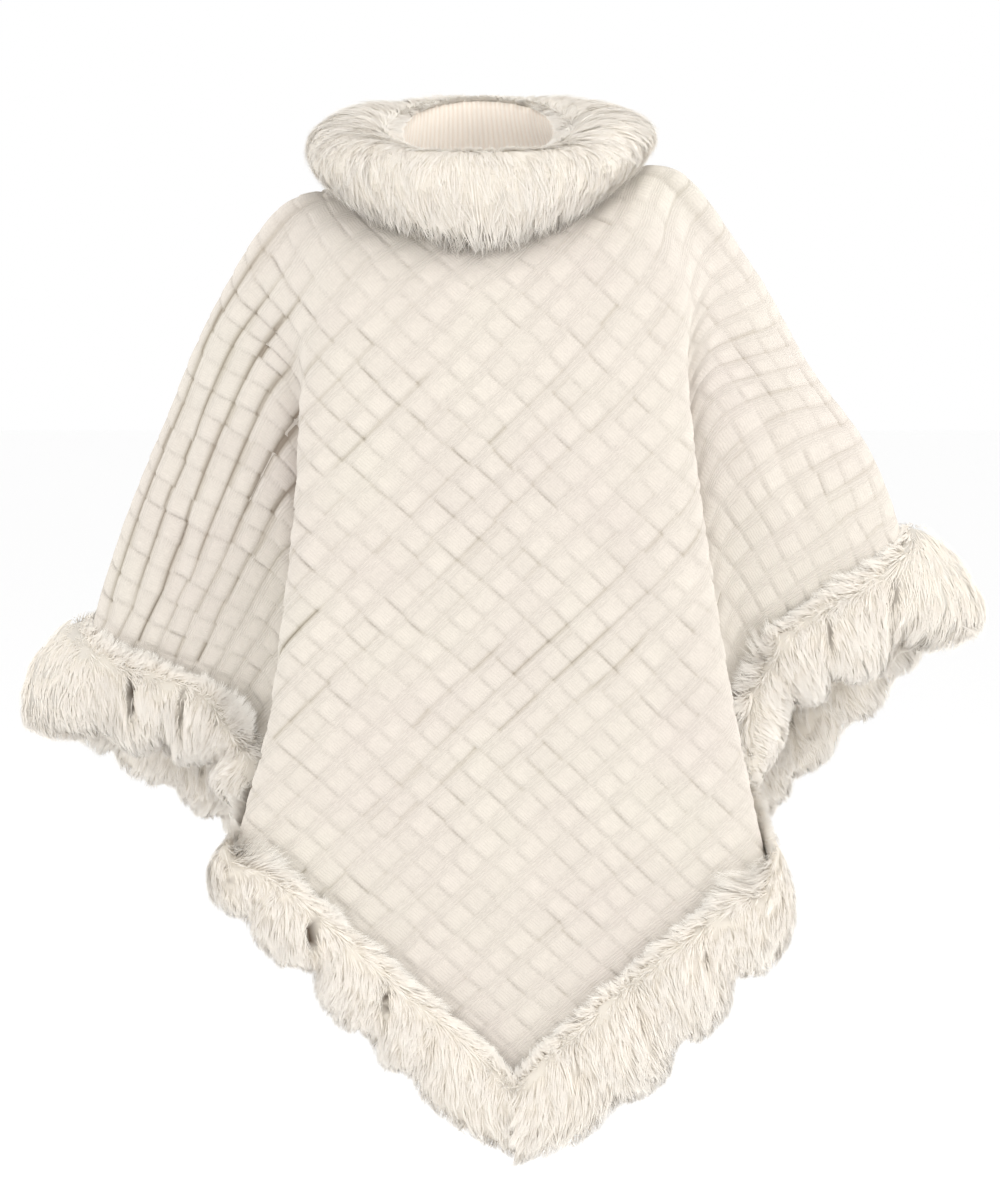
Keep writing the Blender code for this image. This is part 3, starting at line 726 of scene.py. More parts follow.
@dataclass(frozen=True)
class PileFur(Finish):
    """Long-pile cream fur of fine modacrylic hair.

    It gives the eye pale, slightly glossy tips over warmer roots, and painted shade in dark brown where the
    hair parts.
    """

    name: str = "long_pile_modacrylic_fur"
    # The root colour is painted shade, reached only in the partings and in the low edge's shaded locks
    root: str = "#6f5e4d"
    low: str = "#f5f0e7"
    middle: str = "#fbf7f1"
    tip: str = "#fdfbf7"
    through: float = 0.30

    def surface(self) -> dict[str, float | tuple[float, ...]]:
        """Soft gloss with a strong nap."""
        return {
            "Roughness": 0.62,
            "Diffuse Roughness": 0.9,
            "Specular IOR Level": 0.3,
            "Sheen Weight": 0.55,
            "Sheen Roughness": 0.35,
            "Sheen Tint": linear("#fffaf2"),
        }

    def dress(self, tree: bpy.types.NodeTree, shader: bpy.types.Node) -> None:
        """Adds the colours from the root's painted shade to the tip, the streaks and the light that goes
        through.

        Args:
            tree: the material's tree.
            shader: its shader.
        """
        cut = add_node(tree, "ShaderNodeUVMap", uv_map="cut").outputs[0]
        along, tone = add_node(tree, "ShaderNodeSeparateXYZ", {0: cut}).outputs[:2]
        colour = ramp(tree, along, (0.0, self.root), (0.16, self.low), (0.5, self.middle), (0.9, self.tip))
        inputs = {"Color": colour, "Value": scaled(tree, tone, 0.08, 0.92)}
        shaded = add_node(tree, "ShaderNodeHueSaturation", inputs).outputs[0]
        tree.links.new(shaded, shader.inputs["Base Color"])
        # Hair a real 0.05 mm thick is drawn in locks about 1 mm wide, and their sheen comes from this streak
        normal = self.bump(tree, shader, noise(tree, 900.0), 0.25, 0.0005)
        # Light goes on through pale hair, so its undersides and gaps stay bright
        glow = add_node(tree, "ShaderNodeBsdfTranslucent", {"Color": shaded, "Normal": normal})
        shares = {0: self.through, 1: shader.outputs[0], 2: glow.outputs[0]}
        both = add_node(tree, "ShaderNodeMixShader", shares)
        tree.links.new(both.outputs[0], tree.nodes["Material Output"].inputs["Surface"])


@dataclass(frozen=True)
class StudioPaper(Finish):
    """Matt white background paper, which gives the eye an even pale floor."""

    name: str = "white_background_paper"
    colour: str = "#fdfdfd"

    def surface(self) -> dict[str, float | tuple[float, ...]]:
        """Even matt white."""
        return {"Base Color": linear(self.colour), "Roughness": 0.9, "Specular IOR Level": 0.1}

    def dress(self, tree: bpy.types.NodeTree, shader: bpy.types.Node) -> None:
        """Adds the paper's grain."""
        self.bump(tree, shader, noise(tree, 400.0), 0.1, 0.0005)


# ---------------------------------------------------------------------------------------------------------
# The cloth's form


def neck_ring(azimuth: Array, radius_less: float = 0.0) -> Array:
    """The ring where the panels end at the neck.

    Args:
        azimuth: in degrees, 0 in front.
        radius_less: how far inside that ring.

    Returns:
        Its places.
    """
    turn = np.radians(azimuth)
    across = (NECK_RADIUS_X - radius_less) * np.sin(turn)
    ahead = -(NECK_RADIUS_Y - radius_less) * np.cos(turn)
    return np.stack([across, ahead, ring_column(NECK_RING, "z", azimuth)], axis=-1)


def neck_start(across: Array) -> tuple[Array, Array]:
    """Where the rib lines start on the cut: along the neck's arc, then along the seam."""
    angle = np.minimum(across / NECK_CUT, 1.0) * math.pi / 2
    return NECK_CUT * np.cos(angle), np.where(across < NECK_CUT, NECK_CUT * np.sin(angle), across)


def stop_places(table: Table, stop: str, drop: Array) -> Array:
    """Where a table's stop lies at each drop."""
    return np.stack([column(table, "drop", f"{stop}_{axis}", drop) for axis in "xyz"], axis=-1)


@dataclass(frozen=True)
class Drape:
    """How a panel hangs: its tables, and how much its body part is stretched."""

    face: Face
    middle: Table
    left: Table
    right: Table
    stretch: float

    def half(self, near: Table, far: Table, drop: Array, breadth: Array) -> Array:
        """Places on one half, from the middle through the fold's stops to the seam.

        Args:
            near: the half's table.
            far: the other half's table.
            drop: drop of each place.
            breadth: distance of each place from the middle line, on the cut.

        Returns:
            The places.
        """
        centre = stop_places(self.middle, "middle", drop)
        stops = np.stack([centre] + [stop_places(near, stop, drop) for stop in FOLD_STOPS], axis=1)
        knots = np.sqrt(np.linalg.norm(np.diff(stops, axis=1), axis=2))
        rates = np.diff(stops, axis=1) / knots[..., None]
        slopes = np.empty_like(stops)
        before, after = knots[:, :-1, None], knots[:, 1:, None]
        slopes[:, 1:-1] = (rates[:, :-1] * after + rates[:, 1:] * before) / (before + after)
        level = unit(stops[:, 1] - stop_places(far, "crest", drop))
        slopes[:, 0] = level * np.linalg.norm(rates[:, 0], axis=1)[:, None]
        over = np.array([0.0, self.face.value, 0.0])
        slopes[:, -1] = -over * ARM_ROUNDNESS / knots[:, -1][:, None]
        share = np.linspace(0.0, 1.0, SAMPLES_PER_STOP, endpoint=False)[None, None, :, None]
        step = knots[:, :, None, None]
        start_slope, end_slope = slopes[:, :-1, None] * step, slopes[:, 1:, None] * step
        curve = hermite(stops[:, :-1, None], stops[:, 1:, None], start_slope, end_slope, share)
        curve = np.concatenate([curve.reshape(len(drop), -1, 3), stops[:, -1:]], axis=1)
        runs = np.linalg.norm(np.diff(curve, axis=1), axis=2)
        runs = np.concatenate([np.zeros((len(drop), 1)), np.cumsum(runs, axis=1)], axis=1)
        crest_run = runs[:, SAMPLES_PER_STOP]
        crest_breadth = crest_run / self.stretch
        past = (breadth - crest_breadth) / (np.minimum(drop, CORNER_DROP) - crest_breadth)
        on_arm = crest_run + past * (runs[:, -1] - crest_run)
        wanted = np.where(breadth < crest_breadth, breadth * self.stretch, on_arm)
        low = np.clip((runs < wanted[:, None]).sum(axis=1) - 1, 0, runs.shape[1] - 2)
        each = np.arange(len(drop))
        inside = (wanted - runs[each, low]) / np.maximum(runs[each, low + 1] - runs[each, low], 1e-9)
        return curve[each, low] + (curve[each, low + 1] - curve[each, low]) * inside[:, None]

    def places(self, p: Array, q: Array) -> Array:
        """Where places on the cut lie in space.

        Args:
            p: run along the left seam.
            q: run along the right seam.

        Returns:
            The places, with a last axis of x, y and z.
        """
        shape = p.shape
        p, q = p.ravel(), q.ravel()
        drop = (p + q) / math.sqrt(2)
        breadth = (q - p) / math.sqrt(2)
        hung = np.empty((len(p), 3))
        to_left = breadth < 0
        hung[to_left] = self.half(self.left, self.right, drop[to_left], -breadth[to_left])
        hung[~to_left] = self.half(self.right, self.left, drop[~to_left], breadth[~to_left])
        turn = np.degrees(np.arctan2(q, p)) * 2.0 - 90.0
        azimuth = turn if self.face is Face.FRONT else 180.0 - turn
        run = np.hypot(p, q) - NECK_CUT
        fall = np.radians(ring_column(NECK_RING, "fall", azimuth))
        ahead = np.radians(azimuth)
        outward = np.stack([np.sin(ahead), -np.cos(ahead), 0 * ahead], axis=-1)
        slope = outward * np.cos(fall)[:, None] + np.array([0.0, 0.0, -1.0]) * np.sin(fall)[:, None]
        cone = neck_ring(azimuth) + run[:, None] * slope
        placed = cone + (hung - cone) * smooth_step(run / NECK_BLEND)[:, None]
        return placed.reshape(*shape, 3)

    def surface(self, p: Array, q: Array, seam: Array) -> tuple[Array, Array]:
        """The panel's middle surface with its seams parted.

        Args:
            p: grid of runs along the left seam.
            q: grid of runs along the right seam.
            seam: which places lie on a seam.

        Returns:
            The places, and their unit normals away from the wearer.
        """
        grid = self.places(p, q)
        normals = unit(np.cross(np.gradient(grid, axis=0), np.gradient(grid, axis=1))) * -self.face.value
        normals[seam] *= np.array([1.0, 0.0, 1.0])
        grid[seam] += np.array([0.0, self.face.value * SEAM_GAP / 2, 0.0])
        return grid, unit(normals)


@dataclass(frozen=True)
class Crease:
    """A soft trough pressed in a panel, from one place on the cut to another."""

    start: tuple[float, float]
    end: tuple[float, float]
    width: float
    depth: float

    def at(self, p: Array, q: Array) -> Array:
        """How deep it is at places on the cut."""
        first, last = np.array(self.start), np.array(self.end)
        length = float(np.linalg.norm(last - first))
        ahead = (last - first) / length
        along = (p - first[0]) * ahead[0] + (q - first[1]) * ahead[1]
        beside = (p - first[0]) * ahead[1] - (q - first[1]) * ahead[0]
        ends = smooth_step(along / (0.3 * length)) * smooth_step((length - along) / (0.3 * length))
        return self.depth * bell(beside, self.width) * ends


@dataclass
class KnitPanel:
    """One basket-weave panel as a thin shell, its squares raised in the mesh."""

    drape: Drape
    finish: bpy.types.Material
    creases: tuple[Crease, ...]
    seed: int
    block_height: float = 0.0018
    ground_height: float = 0.0010
    crease_depth: float = 0.0015
    groove_depth: float = 0.0008
    arm_groove_depth: float = 0.0023
    long_grooves: tuple[tuple[int, float, float], ...] = ()
    arm_starts: tuple[float, float] = (0.11, 0.17)
    arm_shares: tuple[float, float] = (1.0, 0.50)
    arm_end: float = 0.40
    arm_wider: float = 0.030
    groove_width: float = 0.075
    crease_width: float = 0.055
    wander: tuple[float, float] = (0.06, 0.05)
    shifts: tuple[float, float] = (0.10, 0.06)
    row_edges: tuple[float, float, float, float] = (0.03, 0.13, 0.87, 0.11)
    rib_edges: tuple[float, float, float, float] = (0.15, 0.13, 0.72, 0.12)
    fan_end: float = 0.19
    seam_height: float = 0.0004
    seam_rise: float = 0.007
    seam_shade: float = 0.62
    crease_start: float = 0.05
    row_stops: tuple[float, ...] = (0.00, 0.07, 0.17, 0.36, 0.58, 0.78, 0.90)
    rib_stops: tuple[float, ...] = (0.00, 0.17, 0.27, 0.38, 0.52, 0.66, 0.76, 0.86)

    @property
    def name(self) -> str:
        """The panel's name without its kind."""
        return self.drape.face.name.lower()

    def cut_grid(self) -> tuple[Array, Array]:
        """The grid on the cut, a line at each stop of each row and rib, fanned out along the neck.

        Returns:
            The grids of p and of q.
        """
        down = np.concatenate([(row + np.array(self.row_stops)) * ROW_PITCH for row in range(ROW_COUNT)])
        across = np.concatenate([(rib + np.array(self.rib_stops)) * RIB_PITCH for rib in range(RIB_COUNT)])
        down = np.append(down, PANEL_SIDE)[:, None]
        across = np.append(across, PANEL_SIDE)[None, :]
        start_p, start_q = neck_start(across)
        blend = 1.45 * NECK_CUT
        squeezed = start_p + down * (blend - start_p) / blend
        p = np.where(down < blend, squeezed, down + 0 * across)
        q = start_q + (across - start_q) * smooth_step(down / self.fan_end)
        return p, q

    @staticmethod
    def stepped(at: Array, beside: Array, shifts: Array) -> tuple[Array, Array]:
        """Numbers the cells along one way of the weave, each cell's ends a little out of line with the next.

        Args:
            at: places in cells.
            beside: the number of each place's line of cells.
            shifts: how far each cell's start is moved, by cell and line, in cells.

        Returns:
            The cell's number and the share along it, for each place.
        """
        line = np.clip(beside, -1, shifts.shape[1] - 2) + 1
        nearest = np.clip(np.round(at).astype(int), 0, shifts.shape[0] - 3)
        cell = np.where(at >= nearest + shifts[nearest + 1, line], nearest, nearest - 1)
        start = cell + shifts[cell + 1, line]
        end = cell + 1 + shifts[cell + 2, line]
        return cell, np.clip((at - start) / (end - start), 0.0, 1.0)

    def arm_share(self, p: Array, q: Array) -> Array:
        """How far each place lies on a raised arm, where the grooves open, from 0 to 1."""
        side, drop = (q - p) / math.sqrt(2), (p + q) / math.sqrt(2)
        start, share = (np.where(side > 0, right, left) for left, right in (self.arm_starts, self.arm_shares))
        arm = smooth_step((np.abs(side) - start) / 0.10) * share
        return arm * (1.0 - 0.55 * smooth_step((drop - self.arm_end) / 0.14))

    def relief(self, p: Array, q: Array) -> tuple[Array, Array]:
        """The weave's height over the cloth's middle surface.

        Args:
            p: grid of runs along the left seam.
            q: grid of runs along the right seam.

        Returns:
            The height in metres, and four shades: square, painted light and shade with random tone, arm share
                and the square's own tone.
        """
        wander = SoftNoise(self.seed, 0.045)
        rng = np.random.default_rng(self.seed + 1)
        size = (ROW_COUNT + 4, RIB_COUNT + 4)
        row = p / ROW_PITCH + self.wander[0] * wander.at(p, q)
        rib = q / RIB_PITCH + self.wander[1] * wander.at(q + 0.4, p)
        row_shift, rib_shift = self.shifts
        rows, s = self.stepped(row, np.floor(rib).astype(int), rng.uniform(-row_shift, row_shift, size))
        ribs, t = self.stepped(rib, rows, rng.uniform(-rib_shift, rib_shift, size[::-1]))
        rows, ribs = rows + 1, ribs + 1
        own = rng.uniform(0.0, 1.0, size)[rows, ribs]
        # Creases lie between the rows, grooves along the ribs; each cell's is its own
        nearest_row = np.round(row).astype(int) + 1
        crease_share = rng.uniform(0.25, 1.15, size)[nearest_row, ribs]
        crease_share = crease_share * (0.55 + 0.75 * rng.uniform(0.0, 1.0, size[0]))[nearest_row]
        between = rng.uniform(-0.5, 0.5, size)[rows, np.round(rib).astype(int) + 1]
        grooves = np.round(rib - GROOVE_PLACE).astype(int) + 2
        groove_share = 0.25 + 1.5 * rng.uniform(0.0, 1.0, size[1])[grooves] ** 2
        groove_share = groove_share * (1 + 0.8 * SoftNoise(self.seed + 2, 0.11).at(p, q))
        groove_share = groove_share * rng.uniform(0.3, 1.1, size)[rows, grooves]
        for number, start, end in self.long_grooves:
            window = smooth_step((p - start) / 0.02) * smooth_step((end - p) / 0.02)
            groove_share = groove_share + 1.5 * window * (grooves == number + 1)
        arm = self.arm_share(p, q)
        slope = 0.50 + 0.50 * np.clip((s - 0.08) / 0.70, 0.0, 1.0)
        square = plateau(s, *self.row_edges) * slope * plateau(t, *self.rib_edges)
        crease = bell(np.minimum(s, 1.0 - s), self.crease_width) * (0.65 + 0.35 * bell(t - 0.48, 0.30))
        crease = crease * crease_share * 1.15
        groove_width = self.groove_width + self.arm_wider * arm
        groove = bell(t - GROOVE_PLACE, groove_width) * np.maximum(groove_share, arm)
        groove_depth = self.groove_depth + (self.arm_groove_depth - self.groove_depth) * arm
        height = self.ground_height + (self.block_height * (0.80 + 0.40 * own) - self.ground_height) * square
        height = height - self.crease_depth * crease - groove_depth * groove
        edge = bell(t - 0.13, 0.05) + bell(t - 0.79, 0.05)
        crease = crease * (1.0 - 0.3 * arm)
        # Painted light on the squares; painted shade in the creases, along the squares' edges and in the
        # grooves, deepest on the arms; the squares and ground tiles also differ in tone at random
        painted_light_and_tone = 0.66 + 0.20 * square * (0.4 + 1.2 * own) - 0.22 * crease - 0.15 * edge * (1.2 - own)
        painted_light_and_tone = painted_light_and_tone + 0.12 * between * (1.0 - square) - (0.18 + 0.46 * arm) * groove
        return height, np.stack([square, np.clip(painted_light_and_tone, 0.0, 1.0), arm, own], axis=-1)

    @staticmethod
    def border(index: Array) -> Array:
        """The numbers round a grid's edge, in order."""
        return np.concatenate([index[:-1, 0], index[-1, :-1], index[:0:-1, -1], index[0, :0:-1]])

    def build(self) -> bpy.types.Object:
        """Makes the shell: woven outside, plain inside, its rims closed.

        Returns:
            The piece.
        """
        p, q = self.cut_grid()
        rows, columns = p.shape
        seam = np.zeros(p.shape, bool)
        seam[:, 0] = True
        seam[0, q[0] >= NECK_CUT * 0.9999] = True
        grid, normals = self.drape.surface(p, q, seam)
        height, shades = self.relief(p, q)
        from_seam = np.minimum(q, np.where(q > NECK_CUT, p, 1.0))
        height = self.seam_height + (height - self.seam_height) * smooth_step(from_seam / self.seam_rise)
        shades[..., 1] *= self.seam_shade + (1.0 - self.seam_shade) * smooth_step((from_seam + 0.001) / 0.006)
        sag = sum((crease.at(p, q) for crease in self.creases), np.zeros(p.shape))
        grid = grid - normals * (sag * smooth_step(from_seam / self.crease_start))[..., None]
        outer = grid + normals * (WALL / 2 + height)[..., None]
        # The plain lining has every second line of the grid
        inner = (grid - normals * WALL / 2)[::2, ::2]
        places = np.stack([p, q], axis=-1) / PANEL_SIDE
        turned = self.drape.face is Face.BACK
        under = rows * columns
        faces = grid_faces(rows, columns, 0, turned) + grid_faces(*inner.shape[:2], under, not turned)
        border = self.border(np.arange(under).reshape(rows, columns))
        below = self.border(under + np.arange(inner[..., 0].size).reshape(inner.shape[:2]))
        after = np.roll(border, -2)[::2]
        rim = np.stack([after, border[1::2], border[::2], below, np.roll(below, -1)], axis=-1)
        faces += (rim[:, ::-1] if turned else rim).tolist()
        plain = np.zeros_like(shades[::2, ::2])
        plain[..., 1] = 0.50
        mesh = ClothMesh(
            np.concatenate([outer.reshape(-1, 3), inner.reshape(-1, 3)]),
            faces,
            np.concatenate([places.reshape(-1, 2), places[::2, ::2].reshape(-1, 2)]),
            np.concatenate([shades.reshape(-1, 4), plain.reshape(-1, 4)]),
        )
        piece = mesh.build(f"knit_{self.name}", self.finish)
        finish_piece(piece, "basket_knit", f"{self.name}_panel")
        return piece


@dataclass
class CollarTube:
    """The rib-knit tube that stands in the neck cut."""

    finish: bpy.types.Material
    radius: float = 0.0738
    forward: float = 0.004
    left: float = 0.003
    below: float = 0.004
    gap: float = 0.0019
    rim_middle: float = 0.066
    rim_tilt: float = 0.030
    ribs: int = 104
    samples_per_rib: int = 4
    rows: int = 10
    rib_depth: float = 0.0010
    sunk: float = 0.004

    def rim_height(self, azimuth: Array) -> Array:
        """Level of the rim."""
        return self.rim_middle - self.rim_tilt * np.cos(np.radians(azimuth))

    def radius_at(self, azimuth: Array, level: Array) -> Array:
        """Outer radius about the neck's axis.

        Args:
            azimuth: in degrees.
            level: height of each place.

        Returns:
            The radius at each place.
        """
        turn = np.radians(azimuth)
        foot = ring_column(NECK_RING, "z", azimuth) - self.below
        lift = np.clip((level - foot) / (self.rim_height(azimuth) - foot), 0.0, 1.0)
        low = np.hypot(NECK_RADIUS_X * np.sin(turn), NECK_RADIUS_Y * np.cos(turn)) - self.gap
        high = self.radius + self.forward * np.cos(turn) - self.left * np.sin(turn)
        return low + (high - low) * smooth_step(lift)

    def build(self) -> bpy.types.Object:
        """Makes the tube with ribs on both faces and a rolled rim.

        Returns:
            The piece.
        """
        count = self.ribs * self.samples_per_rib
        azimuth = np.arange(count) * 360.0 / count
        turn = np.radians(azimuth)
        foot = neck_ring(azimuth, self.gap) - np.array([0.0, 0.0, self.below])
        rim = np.stack(
            [
                self.radius * np.sin(turn) - self.left,
                -self.radius * np.cos(turn) - self.forward,
                self.rim_height(azimuth) - WALL / 2 - self.sunk,
            ],
            axis=-1,
        )
        inward = np.stack([-np.sin(turn), np.cos(turn), 0 * turn], axis=-1)
        wave = 0.5 + 0.5 * np.cos(turn * self.ribs)
        outer, inner = [], []
        for lift in np.linspace(0.0, 1.0, self.rows + 1):
            share = smooth_step(lift)
            place = foot + (rim - foot) * np.array([share, share, lift])
            outer.append(place + inward * (self.rib_depth * 0.6 * (1 - wave))[:, None])
            inner.append(place + inward * (WALL + self.rib_depth * wave)[:, None])
        crown = rim + inward * (WALL / 2) + np.array([0.0, 0.0, WALL / 2])
        sections = np.stack(outer + [crown] + inner[::-1], axis=1)
        around = sections.shape[1]
        index = np.arange(count * around).reshape(count, around)
        faces = wrapped_faces(index, np.roll(index, -1, 0))[:, ::-1].tolist()
        # The rib wave, which the rib knit's finish turns into painted shade in the hollows
        shades = np.repeat(wave, around)[:, None] * np.ones(4)
        along = np.repeat(azimuth[:, None] / 360.0, around, axis=1)
        up = np.repeat(np.linspace(0.0, 1.0, around)[None, :], count, axis=0)
        places = np.stack([along, up], axis=-1).reshape(-1, 2)
        piece = ClothMesh(sections.reshape(-1, 3), faces, places, shades).build("collar_tube", self.finish)
        finish_piece(piece, "rib_knit", "collar_knit")
        return piece


# ---------------------------------------------------------------------------------------------------------
# Fur


@dataclass
class PileRoll:
    """A roll of fur by run and girth: the surface that the hair's tips reach, and the core it stands on."""

    outer: Array
    core: Array
    ring: bool

    def __post_init__(self) -> None:
        """Measures the roll and finds the outer surface's normals."""
        self.run_length = float(np.linalg.norm(np.diff(self.outer, axis=0), axis=2).mean(axis=1).sum())
        steps = np.linalg.norm(np.diff(self.outer, axis=1), axis=2).mean(axis=0)
        self.girths = np.concatenate([[0.0], np.cumsum(steps)])
        self.girth_length = float(self.girths[-1])
        cross = np.cross(np.gradient(self.outer, axis=0), np.gradient(self.outer, axis=1))
        middle = self.core.mean(axis=1, keepdims=True)
        facing = np.sign(((self.outer - middle) * cross).sum(axis=(1, 2), keepdims=True))
        self.normals = unit(cross * facing)

    def read(self, grid: Array, run: Array, girth: Array) -> Array:
        """Reads one of the roll's grids.

        Args:
            grid: outer, core or normals.
            run: run in metres.
            girth: girth in metres.

        Returns:
            The grid's value at each place.
        """
        rows, columns = grid.shape[:2]
        x = run / self.run_length * (rows - 1)
        x = np.mod(x, rows - 1) if self.ring else np.clip(x, 0.0, rows - 1.001)
        y = np.interp(girth, self.girths, np.arange(columns))
        i = np.minimum(x.astype(int), rows - 2)
        j = np.minimum(y.astype(int), columns - 2)
        u, v = (x - i)[:, None], (y - j)[:, None]
        near = grid[i, j] * (1 - u) + grid[i + 1, j] * u
        far = grid[i, j + 1] * (1 - u) + grid[i + 1, j + 1] * u
        return near * (1 - v) + far * v


@dataclass
class Locks:
    """The hair's locks: where each is rooted, how it leans off the flow, its length, tone and lift."""

    run: Array
    girth: Array
    fan: Array
    length: Array
    tone: Array
    lift: Array


@dataclass
class Hairs:
    """Single hairs: each one's lock, root and nearness to a sewn edge, and what the partings do to it."""

    lock: Array
    off_run: Array
    off_girth: Array
    run: Array
    girth: Array
    lip: Array
    loss: Array
    push: Array


@dataclass
class LaidHairs:
    """Where single hairs lie, the normal that each shades by, and which are strays."""

    root: Array
    bend: Array
    tip: Array
    normal: Array
    stray: Array


@dataclass
class Pile:
    """Fur combed over a roll in locks, each a bundle of tapered flat hairs that lean the way the fur flows.

    The hair flows towards tip_girth. Next to the knit, at the lip, it turns back over it. A slit is a
    parting, given as its run and its strength. The moves over_start and over_end carry the hair of a strip's
    ends over the next strip.
    """

    roll: PileRoll
    seed: int
    locks: int
    parts: int
    flow: float
    tip_girth: float
    hairs_per_lock: int = 12
    lock_spread: float = 0.0026
    clump: float = 0.38
    hair_width: float = 0.0008
    fan: float = 0.30
    lift: float = 0.0007
    slits: tuple[tuple[float, float], ...] = ()
    slit_down: float = 0.21
    slit_window: float = 0.085
    slit_push: float = 0.0070
    slit_reach: float = 0.009
    slit_width: float = 0.0050
    lip: tuple[float, float] = (0.012, 0.027)
    lip_girth: float = 0.032
    lip_more: tuple[float, ...] = (0.0, 0.0)
    lip_share: float = 0.16
    both_lips: bool = True
    lean: float = 0.0
    painted_shade_share: float = 0.0
    calm: float = 0.0
    stray: float = 0.10
    stray_rise: tuple[float, float] = (0.0015, 0.0045)
    over_start: tuple[float, float, float] = (0.0, 0.0, 0.0)
    over_end: tuple[float, float, float] = (0.0, 0.0, 0.0)
    softness: float = 0.95
    hair_girth: tuple[float, float] = (0.0, 1.0)
    overhang: float = 0.0
    hang_start: float = 0.42
    length_spread: tuple[float, float] = (0.16, 0.12)
    lip_fan: float = 1.5
    most_rise: float = 0.004
    ends: tuple[float, float] = (0.025, 0.06)
    edge_width: float = 0.022
    bend_rise: float = 0.85
    bend_ahead: float = 0.30
    shade_girth: tuple[float, float] = (0.14, 0.86)
    root_shade: float = 0.16
    core_shade: float = 0.20

    def slit_at(self, run: Array, girth: Array) -> tuple[Array, Array]:
        """The partings' pull: they run the way the hair leans and are widest on the middle of either face.

        Args:
            run: runs in metres.
            girth: girths in metres.

        Returns:
            How far the tips are pushed along the run, and how much of the roll's height is lost.
        """
        length = self.roll.girth_length
        down = np.minimum(girth, length - girth) - self.slit_down * length
        window = bell(down, self.slit_window * length)
        push, loss = np.zeros(run.shape), np.zeros(run.shape)
        for place, strength in self.slits:
            off = run - place + self.lean * down
            push += strength * self.slit_push * np.sign(off) * bell(off, self.slit_reach) * window
            loss += 1.15 * strength**1.5 * bell(off, self.slit_width) * window
        return push, np.minimum(loss, 1.0)

    def plant_locks(self, rng: np.random.Generator) -> Locks:
        """Spreads the locks over the roll, more of them at its sewn edges.

        Args:
            rng: the random draws.

        Returns:
            The locks.
        """
        roll, count = self.roll, self.locks
        low, high = (share * roll.girth_length for share in self.hair_girth)
        run = (np.arange(count) + rng.uniform(0, 1, count)) / count * roll.run_length
        girth = low + (high - low) * np.mod(np.arange(count) * GOLDEN_TURN + rng.uniform(0, 0.35, count), 1.0)
        at_lip = rng.uniform(0, 1, count) < self.lip_share
        lip_girth = rng.uniform(0.0, 0.45, count) * self.lip_girth
        if self.both_lips:
            other = rng.uniform(0, 1, count) < 0.35
            lip_girth = np.where(other, roll.girth_length - lip_girth, lip_girth)
        girth = np.where(at_lip, np.clip(lip_girth, low, high), girth)
        fan = self.fan * (0.6 * SoftNoise(self.seed + 3, 0.030).at(run, girth) + rng.normal(0, 0.4, count))
        fan = fan * (1.0 - self.calm * smooth_step(1.0 - girth / (0.45 * high)))
        length = 1.0 + self.length_spread[0] * rng.normal(0, 1, count)
        return Locks(run, girth, fan, length, rng.uniform(0, 1, count), rng.normal(0, 1, count))

    def plant_hairs(self, rng: np.random.Generator, locks: Locks) -> Hairs:
        """Roots each lock's hairs about it, none where the fur parts.

        Args:
            rng: the random draws.
            locks: the locks.

        Returns:
            The hairs.
        """
        roll = self.roll
        low, high = (share * roll.girth_length for share in self.hair_girth)
        lock = np.repeat(np.arange(self.locks), self.hairs_per_lock)
        off_run = rng.normal(0, self.lock_spread, len(lock))
        off_girth = rng.normal(0, self.lock_spread, len(lock))
        run = locks.run[lock] + off_run
        girth = np.clip(locks.girth[lock] + off_girth, low, high)
        push, loss = self.slit_at(run, girth)
        kept = rng.uniform(0, 1, len(lock)) > 1.2 * loss
        lip = 1.0 - smooth_step(girth / self.lip_girth)
        if self.both_lips:
            lip = np.maximum(lip, 1.0 - smooth_step((roll.girth_length - girth) / self.lip_girth))
        return Hairs(*(values[kept] for values in (lock, off_run, off_girth, run, girth, lip, loss, push)))

    def lay(self, rng: np.random.Generator, locks: Locks, hairs: Hairs) -> LaidHairs:
        """Lays the hair: along the flow, off it by its lock's fan, and back over the knit at the lips.

        Args:
            rng: the random draws.
            locks: the locks.
            hairs: the hairs.

        Returns:
            The hairs as they lie.
        """
        roll, lock, total = self.roll, hairs.lock, len(hairs.lock)
        run, girth, lip = hairs.run, hairs.girth, hairs.lip
        left_over = self.tip_girth - locks.girth[lock]
        length = self.flow * locks.length[lock] * (1 + self.length_spread[1] * rng.normal(0, 1, total))
        flow = np.minimum(length, np.abs(left_over))
        beyond = length - flow
        sideways = locks.fan[lock] * (1 + self.lip_fan * lip) - self.lean * smooth_step(run / 0.06)
        tip_run = locks.run[lock] + hairs.off_run * (1 - self.clump) + length * sideways + hairs.push
        onward = np.sign(left_over) * (flow * (1 - lip))
        tip_girth = locks.girth[lock] + hairs.off_girth * (1 - self.clump) + onward
        tip_girth = np.clip(tip_girth, 0.0, roll.girth_length)
        outer = roll.read(roll.outer, tip_run, tip_girth)
        normal = unit(roll.read(roll.normals, tip_run, tip_girth))
        root = roll.read(roll.core, run, girth)
        centre = roll.read(roll.core, tip_run, tip_girth)
        tip = outer + (centre - outer) * hairs.loss[:, None]
        tip = tip + normal * (self.lift * (locks.lift[lock] + 0.5 * rng.normal(0, 1, total)))[:, None]
        tip = tip + normal * np.minimum(beyond * 0.25, self.most_rise)[:, None]
        # Where two strips meet, the hair of each goes over the other's end
        spread = rng.uniform(0.4, 1.6, total)
        for way, off, width in zip((self.over_start, self.over_end), (run, roll.run_length - run), self.ends):
            tip = tip + np.array(way) * (spread * smooth_step(1.0 - off / width))[:, None]
        stray = rng.uniform(0, 1, total) < self.stray
        tip = tip + normal * (stray * rng.uniform(*self.stray_rise, total))[:, None]
        middle = roll.outer.mean(axis=1, keepdims=True) + 0 * roll.outer
        end = roll.read(roll.outer, tip_run, np.where(girth < roll.girth_length / 2, 0.0, roll.girth_length))
        over = unit(end - roll.read(middle, tip_run, girth))
